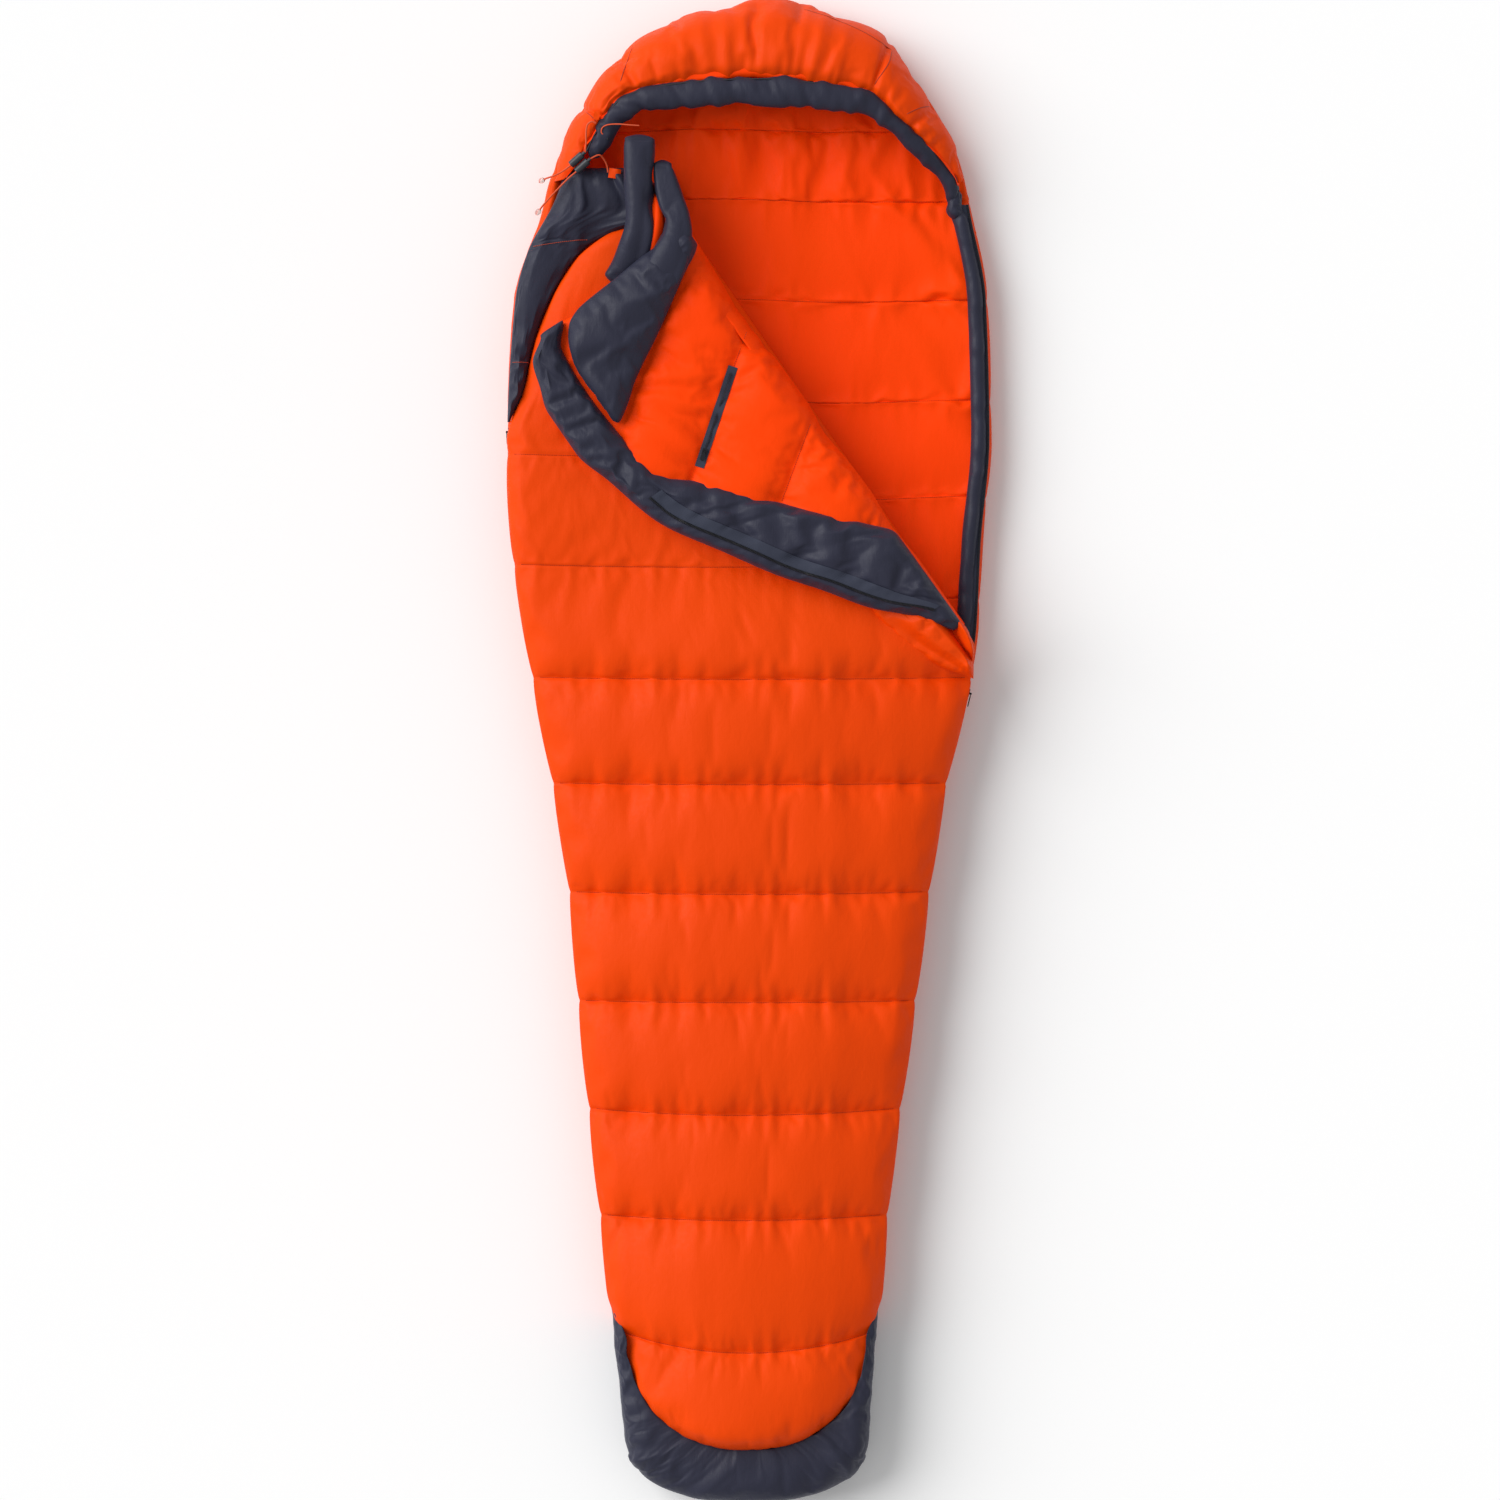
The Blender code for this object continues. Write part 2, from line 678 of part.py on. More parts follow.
def open_zip():
    """Guard, tape and coil of the back quilt's half, down the open side."""
    stations = [0.782, 0.735, 0.680] + spread(0.620, 0.180, 9) + [0.140, 0.115]

    def guard(y):
        right = outline_x(y, 1) - GUARD_INSET
        return pad_section(right - GUARD_WIDTH, right, BACK_TOP + TAPE + 2 * GAP, GUARD_TOP, GUARD_CORNER)

    def tape(y):
        right = outline_x(y, 1) - TAPE_INSET
        return sheet_section(right - TAPE_WIDTH, right, BACK_TOP + GAP, BACK_TOP + GAP + TAPE)

    loft("zip_guard", bag_loops(stations, guard), NAVY)
    loft("back_zip_tape", bag_loops(stations, tape), TAPE_NAVY)
    centre = BACK_TOP + 2 * GAP + COIL_RADIUS
    path = [Vector((outline_x(y, 1) - COIL_INSET, y, centre)) for y in stations]
    tube_along("back_zip_teeth", path, COIL_RADIUS, COIL_BLACK)


def closed_zip():
    """The closed stretch of the main zip, which is the wall between the quilts."""
    stations = spread(ZIP_OPEN_Y, ZIP_STRAIGHT_END, 4) + spread(-0.071, -0.780, 9)

    def wall(y):
        right = outline_x(y, 1) - COIL_RADIUS - 2 * GAP
        return sheet_section(right - WALL_TAPE, right, BACK_TOP + GAP, TOP_UNDER - GAP)

    loft("closed_zip_tape", bag_loops(stations, wall), TAPE_NAVY)
    path = [Vector((outline_x(y, 1), y, ZIP_Z)) for y in stations]
    tube_along("closed_zip_teeth", path, COIL_RADIUS, COIL_BLACK)
    end = path[-1] - Vector((0.0, GAP, 0.0))
    low, high = -STOP_HALF_HEIGHT, STOP_HALF_HEIGHT
    box_between("zip_bottom_stop", end, Vector((0, -1, 0)), Vector((1, 0, 0)), STOP_SIZE, low, high, METAL)


def left_zip():
    """Short second zip down the upper left edge, straight beside the gusset."""

    def tape(y):
        left = outline_x(y, -1) + LEFT_ZIP_INSET + 2 * COIL_RADIUS
        return sheet_section(left, left + LEFT_TAPE, BACK_TOP + GAP, TOP_UNDER - GAP)

    loft("left_zip_tape", bag_loops(spread(LEFT_ZIP[0], LEFT_ZIP[1], 7), tape), TAPE_NAVY)
    head, foot = (left_zip_point(y) for y in LEFT_ZIP)
    tube_along("left_zip_teeth", [head.lerp(foot, t) for t in spread(0, 1, 5)], COIL_RADIUS, COIL_BLACK)


def left_zip_point(y):
    return Vector((outline_x(y, -1) + LEFT_ZIP_INSET, y, ZIP_Z))


def pocket_zip():
    """Zip of the small pocket in the folded corner's liner."""
    along = (POCKET_FOOT - POCKET_HEAD).normalized()
    across = along.cross(Vector((0, 0, 1)))
    length = (POCKET_FOOT - POCKET_HEAD).length
    low = FLAP_TOP + GAP
    size = (length, POCKET_TAPE_WIDTH)
    box_between("pocket_zip_tape", POCKET_HEAD, along, across, size, low, low + TAPE, TAPE_NAVY, FOLD_AXIS)
    centre = Vector((0, 0, low + TAPE + GAP + POCKET_COIL))
    path = [POCKET_HEAD + along * length * t + centre for t in spread(0.03, 0.97, 5)]
    tube_along("pocket_zip_teeth", path, POCKET_COIL, COIL_BLACK, origin=FOLD_AXIS)


# ---------------------------------------------------------------- sliders and pulls


def slider(prefix, centre, along, outward, coil, size, pull_length):
    """A zip slider saddled over its coil, and the pull hinged on it.

    along is the way that the pull lies; outward points away from the tape. Two ears on the
    saddle hold a pin, and the pull's eye turns on it.
    """
    across = outward.cross(along).normalized()
    wall = 0.0011
    half = coil + 2 * GAP + wall
    inside = half - wall
    profile = [
        (-coil, half), (half, half), (half, -half), (-coil, -half),
        (-coil, -inside), (inside, -inside), (inside, inside), (-coil, inside),
    ]
    loops = []
    for step in (-size / 2, size / 2):
        loops.append([centre + along * step + outward * a + across * b for a, b in profile])
    body = loft(prefix + "_slider", loops, METAL, centre)
    hinge = centre + outward * (half + PIN_STANDOFF)
    for sign in (-1, 1):
        place = hinge + across * sign * EAR_OFFSET - outward * 0.0006
        unite(body, oriented_box("ear", place, (along, 0.0030), (outward, 0.0034), (across, 0.0010)))
    unite(body, turned_rod("pin", hinge, across, PIN_RADIUS, 2 * EAR_OFFSET + 0.0006))
    pull_tab(prefix + "_pull", hinge, along, outward, across, pull_length)


def pull_tab(name, hinge, along, outward, across, length):
    """Flat tab, its neck and a knuckle bored for the pin, all one piece."""
    pull = turned_rod(name, hinge, across, KNUCKLE_RADIUS, 0.0030, origin=hinge)
    neck = oriented_box("neck", hinge + along * 0.0024, (along, 0.0030), (outward, 0.0012), (across, 0.0030))
    unite(pull, neck)
    start = 0.0030
    middle = hinge + along * (start + length / 2)
    unite(pull, oriented_box("tab", middle, (along, length), (outward, 0.0014), (across, 0.0056)))
    cut(pull, turned_rod("bore", hinge, across, PIN_RADIUS + 0.0004, 0.0080))
    return pull


def oriented_box(name, centre, *sides):
    """A box given its three directions and its size along each."""
    (a, x), (b, y), (c, z) = sides
    points = []
    for i in (-0.5, 0.5):
        for j, k in ((-0.5, -0.5), (0.5, -0.5), (0.5, 0.5), (-0.5, 0.5)):
            points.append(centre + a * x * i + b * y * j + c * z * k)
    faces = [(0, 1, 2, 3), (7, 6, 5, 4), (0, 4, 5, 1), (1, 5, 6, 2), (2, 6, 7, 3), (3, 7, 4, 0)]
    return add_mesh(name, points, faces, METAL)


def turned_rod(name, centre, axis, radius, length, sides=12, origin=None, material=None):
    axis = axis.normalized()
    side = axis.orthogonal().normalized()
    other = axis.cross(side)
    loops = []
    for end in (-length / 2, length / 2):
        loops.append([
            centre + axis * end + (side * math.cos(a) + other * math.sin(a)) * radius
            for a in [2 * math.pi * k / sides for k in range(sides)]
        ])
    return loft(name, loops, material or METAL, origin)


def apply_boolean(obj, tool, operation):
    """Joins or cuts with a second shape, then drops that shape."""
    modifier = obj.modifiers.new(operation.title(), "BOOLEAN")
    modifier.operation = operation
    modifier.solver = "EXACT"
    modifier.object = tool
    bpy.context.view_layer.update()
    graph = bpy.context.evaluated_depsgraph_get()
    mesh = bpy.data.meshes.new_from_object(obj.evaluated_get(graph))
    obj.modifiers.clear()
    obj.data = mesh
    bpy.data.objects.remove(tool, do_unlink=True)


def unite(obj, tool):
    apply_boolean(obj, tool, "UNION")


def cut(obj, tool):
    apply_boolean(obj, tool, "DIFFERENCE")


def sliders():
    """The main, left and pocket sliders, each at the head end of its travel or as it was left."""
    top = Vector((outline_x(SLIDER_Y, 1), SLIDER_Y, ZIP_Z))
    low = Vector((outline_x(-0.020, 1), -0.020, ZIP_Z))
    along = (low - top).normalized()
    slider("main", top, along, Vector((-along.y, along.x, 0)), COIL_RADIUS, 0.012, 0.016)
    head, foot = (left_zip_point(y) for y in LEFT_ZIP)
    left_along = (foot - head).normalized()
    left_at = head + left_along * 0.012
    outward = Vector((left_along.y, -left_along.x, 0))
    slider("left", left_at, left_along, outward, COIL_RADIUS, 0.012, 0.014)
    pocket_along = (POCKET_FOOT - POCKET_HEAD).normalized()
    height = FLAP_TOP + 2 * GAP + TAPE + POCKET_COIL
    at = POCKET_FOOT - pocket_along * 0.022 + Vector((0, 0, height))
    slider("pocket", at, pocket_along, Vector((0, 0, 1)), POCKET_COIL, 0.009, 0.010)


# ---------------------------------------------------------------- cords and their locks


def cord_lock(prefix, centre, axis):
    """Barrel with two bores side by side: a blind one for the sprung plunger, an open one for the cord."""
    side = Vector((0, 0, 1)) - axis * axis.z
    side.normalize()
    mouth = centre - axis * LOCK_LENGTH / 2
    plunger_line = side * LOCK_PLUNGER_RISE
    name = prefix + "_lock_barrel"
    barrel = turned_rod(name, centre, axis, LOCK_RADIUS, LOCK_LENGTH, 16, material=PLASTIC)
    bore = mouth + plunger_line + axis * (LOCK_BORE_DEPTH / 2 - 0.001)
    cut(barrel, turned_rod("bore", bore, axis, LOCK_BORE, LOCK_BORE_DEPTH + 0.002))
    cord_way = centre - side * LOCK_CORD_DROP
    cut(barrel, turned_rod("cord_way", cord_way, axis, CORD_RADIUS + 0.0004, LOCK_LENGTH + 0.004))
    plunger_middle = mouth + plunger_line + axis * (PLUNGER_LENGTH / 2 - PLUNGER_OUT)
    turned_rod(prefix + "_plunger", plunger_middle, axis, PLUNGER_RADIUS, PLUNGER_LENGTH, 12,
               plunger_middle, PLASTIC)
    start = PLUNGER_LENGTH - PLUNGER_OUT + 0.0004 + SPRING_WIRE
    length = LOCK_BORE_DEPTH - start - 0.0004 - SPRING_WIRE
    turns, steps = 3, 10
    other = axis.cross(side)
    path = []
    for k in range(turns * steps + 1):
        angle = 2 * math.pi * k / steps
        middle = mouth + plunger_line + axis * (start + length * k / (turns * steps))
        path.append(middle + (side * math.cos(angle) + other * math.sin(angle)) * SPRING_RADIUS)
    tube_along(prefix + "_lock_spring", path, SPRING_WIRE, STEEL, 5)


def cord(name, route, radius):
    """A cord's tube on a smooth curve through its route's points."""
    curve = bpy.data.curves.new(name, "CURVE")
    curve.dimensions = "3D"
    curve.bevel_depth = radius
    curve.bevel_resolution = 2
    curve.use_fill_caps = True
    points = smooth_path(route, 3)
    spline = curve.splines.new("POLY")
    spline.points.add(len(points) - 1)
    for point, place in zip(spline.points, points):
        point.co = (*place, 1.0)
    curve.materials.append(CORD_ORANGE)
    obj = bpy.data.objects.new(name, curve)
    bpy.context.scene.collection.objects.link(obj)


def bead(name, centre, axis):
    """Clear barrel-shaped bead closing a cord's end."""
    axis = axis.normalized()
    side = axis.orthogonal().normalized()
    other = axis.cross(side)
    loops = []
    turns = [2 * math.pi * k / BEAD_SIDES for k in range(BEAD_SIDES)]
    for along, share in ((-1, 0.55), (-0.6, 0.9), (0, 1), (0.6, 0.9), (1, 0.55)):
        middle = centre + axis * along * BEAD_LENGTH / 2
        radius = BEAD_RADIUS * share
        loops.append([middle + (side * math.cos(a) + other * math.sin(a)) * radius for a in turns])
    loft(name, loops, CLEAR)


def cords():
    for prefix, centre in LOCK_CENTRES:
        cord_lock(prefix, centre, LOCK_AXIS)
    cord("hood_cord", HOOD_CORD, CORD_RADIUS)
    cord("collar_cord", COLLAR_CORD, CORD_RADIUS)
    cord("neck_cord", NECK_CORD, NECK_CORD_RADIUS)
    for name, route in (("hood_cord_bead", HOOD_CORD), ("collar_cord_bead", COLLAR_CORD)):
        ahead = (route[-1] - route[-2]).normalized()
        bead(name, route[-1] + ahead * (BEAD_LENGTH / 2 + GAP), ahead)
    ahead = (NECK_CORD[-1] - NECK_CORD[-2]).normalized()
    tip = NECK_CORD[-1] + ahead * (NECK_TIP_LENGTH / 2 + GAP)
    turned_rod("neck_cord_tip", tip, ahead, NECK_TIP_RADIUS, NECK_TIP_LENGTH, 10, None, PLASTIC)
    for name, start, along, size, low in CORD_TABS:
        across = along.cross(Vector((0, 0, 1))).normalized()
        box_between(name, start, along.normalized(), across, size, low, low + TAB_THICKNESS, SHELL_ORANGE)


def collar_roll():
    """Rolled end of the draft collar where it is sewn to the bag at the neck."""
    path = smooth_path([(x, y, half) for x, y, half in COLLAR_ROLL], 2)
    loops = []
    for i, point in enumerate(path):
        ahead = path[min(i + 1, len(path) - 1)] - path[max(i - 1, 0)]
        side = Vector((ahead.y, -ahead.x, 0)).normalized()
        base = Vector((point.x, point.y, 0))
        section = pad_section(-point.z, point.z, TOP_TOP + GAP, TOP_TOP + GAP + ROLL_HEIGHT, CORNER)
        loops.append([base + side * s + Vector((0, 0, z)) for s, z in section])
    loft("collar_roll", loops, NAVY)


def build():
    back_quilt()
    top_quilt()
    shoulder_panel()
    left_gusset()
    foot_box()
    hood()
    hood_face_band()
    flap()
    draft_collar()
    collar_roll()
    flap_zip()
    pocket_zip()
    open_zip()
    closed_zip()
    left_zip()
    sliders()
    cords()


clear_scene()
SHELL_ORANGE = fabric("shell ripstop, orange", (0.82, 0.09, 0.008))
LINER_ORANGE = fabric("liner taffeta, orange", (0.95, 0.07, 0.003), 0.5)
NAVY = fabric("ripstop, navy", (0.045, 0.045, 0.062), 0.55)
WADDING = fabric("polyester wadding", (0.85, 0.85, 0.85), 0.95)
TAPE_NAVY = fabric("zip tape, navy", (0.05, 0.055, 0.075), 0.8)
COIL_BLACK = fabric("nylon coil", (0.012, 0.012, 0.015), 0.4)
METAL = fabric("painted zinc", (0.05, 0.05, 0.055), 0.35, 0.6)
STEEL = fabric("spring steel", (0.5, 0.5, 0.52), 0.3, 1.0)
PLASTIC = fabric("moulded nylon, dark", (0.03, 0.035, 0.04), 0.45)
CORD_ORANGE = fabric("elastic cord, orange", (0.75, 0.11, 0.03), 0.8)
CLEAR = fabric("clear bead", (0.9, 0.85, 0.83), 0.15, 0.0, 0.5)
build()
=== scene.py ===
import math

import bmesh
import bpy
import numpy as np
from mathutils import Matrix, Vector
from mathutils.bvhtree import BVHTree


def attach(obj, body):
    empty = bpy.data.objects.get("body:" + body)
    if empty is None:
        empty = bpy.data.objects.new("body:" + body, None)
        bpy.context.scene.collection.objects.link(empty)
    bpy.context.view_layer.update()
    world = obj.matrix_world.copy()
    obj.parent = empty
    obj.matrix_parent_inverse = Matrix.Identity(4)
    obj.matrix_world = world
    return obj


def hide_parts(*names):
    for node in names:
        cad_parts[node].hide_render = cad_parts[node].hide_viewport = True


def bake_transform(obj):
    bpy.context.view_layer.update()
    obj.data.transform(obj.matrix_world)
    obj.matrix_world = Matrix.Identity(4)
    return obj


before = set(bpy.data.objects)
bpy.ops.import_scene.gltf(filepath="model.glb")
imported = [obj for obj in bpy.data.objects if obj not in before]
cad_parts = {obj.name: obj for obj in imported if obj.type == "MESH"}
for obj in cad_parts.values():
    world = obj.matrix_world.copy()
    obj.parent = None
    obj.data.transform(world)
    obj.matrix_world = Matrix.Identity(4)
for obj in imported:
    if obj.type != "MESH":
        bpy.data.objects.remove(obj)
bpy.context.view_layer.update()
print("frame loaded", len(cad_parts), "nodes")

# shape helpers


def smoothTable(table, at, column=1):
    # cubic through the table's points that never overshoots them
    rows = sorted(table)
    xs = np.array([row[0] for row in rows], float)
    ys = np.array([row[column] for row in rows], float)
    slopes = np.diff(ys) / np.diff(xs)
    bends = np.zeros(len(xs))
    bends[0], bends[-1] = slopes[0], slopes[-1]
    for i in range(1, len(xs) - 1):
        if slopes[i - 1] * slopes[i] > 0:
            bends[i] = 2 * slopes[i - 1] * slopes[i] / (slopes[i - 1] + slopes[i])
    at = np.clip(np.asarray(at, float), xs[0], xs[-1])
    k = np.clip(np.searchsorted(xs, at, side="right") - 1, 0, len(xs) - 2)
    h = xs[k + 1] - xs[k]
    t = (at - xs[k]) / h
    start = ys[k] * (1 + 2 * t) * (1 - t) ** 2 + bends[k] * h * t * (1 - t) ** 2
    return start + ys[k + 1] * t * t * (3 - 2 * t) - bends[k + 1] * h * t * t * (1 - t)


def smoothPath(points, steps):
    # rounded path through given places
    rows = np.array(points, float)
    rows = np.vstack([2 * rows[0] - rows[1], rows, 2 * rows[-1] - rows[-2]])
    path = []
    for a, b, c, d in zip(rows, rows[1:], rows[2:], rows[3:]):
        for k in range(steps):
            t = k / steps
            bend = (2 * a - 5 * b + 4 * c - d) * t * t + (3 * b - a - 3 * c + d) * t**3
            path.append(0.5 * (2 * b + (c - a) * t + bend))
    path.append(rows[-2])
    return np.array(path)


def runLengths(points):
    # distance travelled at each point of a path
    return np.r_[0, np.cumsum(np.linalg.norm(np.diff(points, axis=0), axis=1))]


def direction(vector):
    vector = np.asarray(vector, float)
    return vector / np.linalg.norm(vector)


def evenPath(points, step):
    # the same path with its points a fixed distance apart
    points = np.asarray(points, float)
    lengths = runLengths(points)
    count = max(int(round(lengths[-1] / step)), 2)
    at = np.linspace(0, lengths[-1], count + 1)
    return np.array([np.interp(at, lengths, points[:, i]) for i in range(points.shape[1])]).T


def ease(value, start, end):
    t = np.clip((np.asarray(value, float) - start) / (end - start), 0, 1)
    return t * t * (3 - 2 * t)


def rumple(x, y, size, seed):
    # soft random hills about one size across, between -1 and 1
    table = np.random.default_rng(seed).uniform(-1, 1, (61, 61))
    u, v = np.asarray(x) / size + 200.3, np.asarray(y) / size + 200.7
    i, j = np.floor(u).astype(int), np.floor(v).astype(int)
    s, t = u - i, v - j
    s, t = s * s * (3 - 2 * s), t * t * (3 - 2 * t)
    a, b = table[i % 61, j % 61], table[(i + 1) % 61, j % 61]
    c, d = table[i % 61, (j + 1) % 61], table[(i + 1) % 61, (j + 1) % 61]
    return (a * (1 - s) + b * s) * (1 - t) + (c * (1 - s) + d * s) * t


def roundEdge(distance, radius):
    # 0 on the edge, 1 from a radius inwards, a quarter circle between
    t = 1 - np.clip(distance / radius, 0, 1)
    return np.sqrt(1 - t * t)


def bell(distance, width, power=2):
    # 1 in the middle, fading to nothing about two widths away
    return np.exp(-((distance / width) ** power))


def crowded(start, end, count, share=0.7):
    # values that lie closer together at both ends
    k = np.linspace(0, 1, count)
    return start + (end - start) * (k - share * np.sin(2 * math.pi * k) / (2 * math.pi))


def edgeCrowded(count, rim, rimSteps):
    # shares across a pad: a few close ones on both rims, even ones between
    turn = np.linspace(0, math.pi / 2, rimSteps + 1)
    near = rim * (1 - np.cos(turn))
    middle = np.linspace(rim, 1 - rim, count)[1:-1]
    return np.r_[near, middle, 1 - near[::-1]]


def padGrid(stations, share):
    # each point's station along a pad and share across it
    return np.meshgrid(stations, share, indexing="ij")


def raised(plan, z):
    # plan places with their heights
    return np.concatenate([plan, z[..., None]], -1)


# mesh makers


def addMesh(name, points, faces, materials, faceSlots=None, smooth=True):
    mesh = bpy.data.meshes.new(name)
    mesh.from_pydata([tuple(p) for p in points], [], faces)
    for material in materials:
        mesh.materials.append(material)
    if faceSlots is not None:
        mesh.polygons.foreach_set("material_index", np.asarray(faceSlots, np.int32))
    work = bmesh.new()
    work.from_mesh(mesh)
    bmesh.ops.recalc_face_normals(work, faces=work.faces)
    work.to_mesh(mesh)
    work.free()
    if smooth:
        mesh.shade_smooth()
    obj = bpy.data.objects.new(name, mesh)
    bpy.context.scene.collection.objects.link(obj)
    return obj


def closedPad(name, upper, lower, materials, hem=None):
    # two grids that share their border; hem marks upper or lower cells that take the other fabric
    rows, columns = upper.shape[:2]
    top = np.arange(rows * columns).reshape(rows, columns)
    bottom = top.copy()
    bottom[1:-1, 1:-1] = rows * columns + np.arange((rows - 2) * (columns - 2)).reshape(rows - 2, columns - 2)
    points = np.vstack([upper.reshape(-1, 3), lower[1:-1, 1:-1].reshape(-1, 3)])
    faces, slots = [], []
    for grid, slot in ((top, 0), (bottom, 1)):
        quads = np.stack([grid[:-1, :-1], grid[:-1, 1:], grid[1:, 1:], grid[1:, :-1]], -1).reshape(-1, 4)
        if slot:
            quads = quads[:, ::-1]
        faces += quads.tolist()
        marks = np.full(len(quads), slot)
        if hem is not None and hem[0] == slot:
            marks[hem[1][:-1, :-1].reshape(-1)] = 1 - slot
        slots.append(marks)
    return addMesh(name, points, faces, materials, np.concatenate(slots))


def ringFaces(count, around):
    # faces round a row of rings, with a cap on each end
    index = np.arange(count * around).reshape(count, around)
    turned = np.roll(index, -1, axis=1)
    faces = np.stack([index[:-1], turned[:-1], turned[1:], index[1:]], -1).reshape(-1, 4).tolist()
    return faces + [index[0, ::-1].tolist(), index[-1].tolist()]


def ringTube(name, centres, sides, ups, around, materials, swell=None, endSteps=4, square=1.0):
    # closed round tube; sides and ups are the half-width and half-height of each ring
    centres, sides, ups = (np.asarray(a, float) for a in (centres, sides, ups))
    count = len(centres)
    share = np.ones(count)
    for k in range(endSteps):
        share[k] = share[-1 - k] = math.sin((k + 0.35) / endSteps * math.pi / 2)
    angles = np.linspace(0, 2 * math.pi, around, endpoint=False)
    length = runLengths(centres)
    ripple = np.ones((count, around)) if swell is None else 1 + swell(length[:, None], angles[None, :])
    flatter = np.sign(np.cos(angles)) * np.abs(np.cos(angles)) ** square
    taller = np.sign(np.sin(angles)) * np.abs(np.sin(angles)) ** square
    across = sides[:, None, :] * flatter[None, :, None] + ups[:, None, :] * taller[None, :, None]
    points = centres[:, None, :] + across * (share[:, None] * ripple)[:, :, None]
    return addMesh(name, points.reshape(-1, 3), ringFaces(count, around), materials)


def flatRibbon(name, left, right, thickness, materials):
    # thin closed strip between two rows of places
    left, right = np.asarray(left, float), np.asarray(right, float)
    drop = np.array([0, 0, thickness])
    middle = (left + right) / 2
    loop = np.stack([left, middle, right, right - drop, middle - drop, left - drop], 1)
    return addMesh(name, loop.reshape(-1, 3), ringFaces(len(loop), 6), materials, smooth=False)


def alongFrames(path, up=(0, 0, 1)):
    # travelling direction, sideways and upwards at each point of a path
    path = np.asarray(path, float)
    ahead = np.gradient(path, axis=0)
    ahead /= np.linalg.norm(ahead, axis=1)[:, None]
    side = np.cross(ahead, np.array(up, float))
    side /= np.linalg.norm(side, axis=1)[:, None]
    return ahead, side, np.cross(side, ahead)


def repeatAlong(name, path, step, unit, unitFaces, materials, up=(0, 0, 1), smooth=False):
    # copies of one small shape along a path, joined in one mesh; unit is (along, side, up) places
    spots = evenPath(path, step)
    ahead, side, rise = alongFrames(spots, up)
    unit = np.asarray(unit, float)
    points = (
        spots[:, None, :]
        + ahead[:, None, :] * unit[None, :, 0, None]
        + side[:, None, :] * unit[None, :, 1, None]
        + rise[:, None, :] * unit[None, :, 2, None]
    )
    faces = []
    for k in range(len(spots)):
        faces += [[k * len(unit) + i for i in face] for face in unitFaces]
    return addMesh(name, points.reshape(-1, 3), faces, materials, smooth=smooth)


def surfaceOf(*objs):
    # for laying threads and tapes on finished pieces
    points, faces = [], []
    for obj in objs:
        base = len(points)
        points += [v.co.copy() for v in obj.data.vertices]
        faces += [[base + i for i in p.vertices] for p in obj.data.polygons]
    return BVHTree.FromPolygons(points, faces)


def layOn(tree, path, lift, fallback, fromBelow=False):
    placed = []
    start, ahead = (-1.0, 1) if fromBelow else (1.0, -1)
    for x, y in np.asarray(path)[:, :2]:
        hit = tree.ray_cast(Vector((x, y, start)), Vector((0, 0, ahead)))
        if hit[0] is None and fallback is None:
            continue
        placed.append((x, y, (hit[0].z if hit[0] else fallback) + lift))
    placed = np.array(placed)
    if len(placed) > 4:
        kernel = np.array([0.25, 0.5, 0.25])
        placed[1:-1, 2] = np.convolve(placed[:, 2], kernel, "same")[1:-1]
    return placed


def enter(obj, body=None, nodes=()):
    # what the frame is told about a piece; one without a body is left unattached
    if body:
        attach(obj, body)
    if nodes:
        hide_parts(*nodes)
    return obj


# cloth simulation of the stuffed pieces

settling = []  # piece, held shares, fabric growth, most movement
fabric = {"frames": 20, "mass": 0.12, "stretch": 20.0, "shear": 8.0, "bend": 0.05, "pressure": 4.0,
          "floor": 0.0003}


def hold(obj, upperHeld, lowerHeld, grow, most):
    # a pad's seams and borders stay where they are sewn; 1 is held, 0 is free
    held = np.concatenate([np.asarray(upperHeld).reshape(-1), np.asarray(lowerHeld)[1:-1, 1:-1].reshape(-1)])
    settling.append((obj, np.clip(held, 0, 1), grow, most))


def holdTube(obj, around, grow, most):
    # a round tube: only its ends stay
    rings = len(obj.data.vertices) // around
    end = np.minimum(np.arange(rings), np.arange(rings)[::-1])
    settling.append((obj, np.repeat(np.clip(1 - end / 4, 0, 1), around), grow, most))


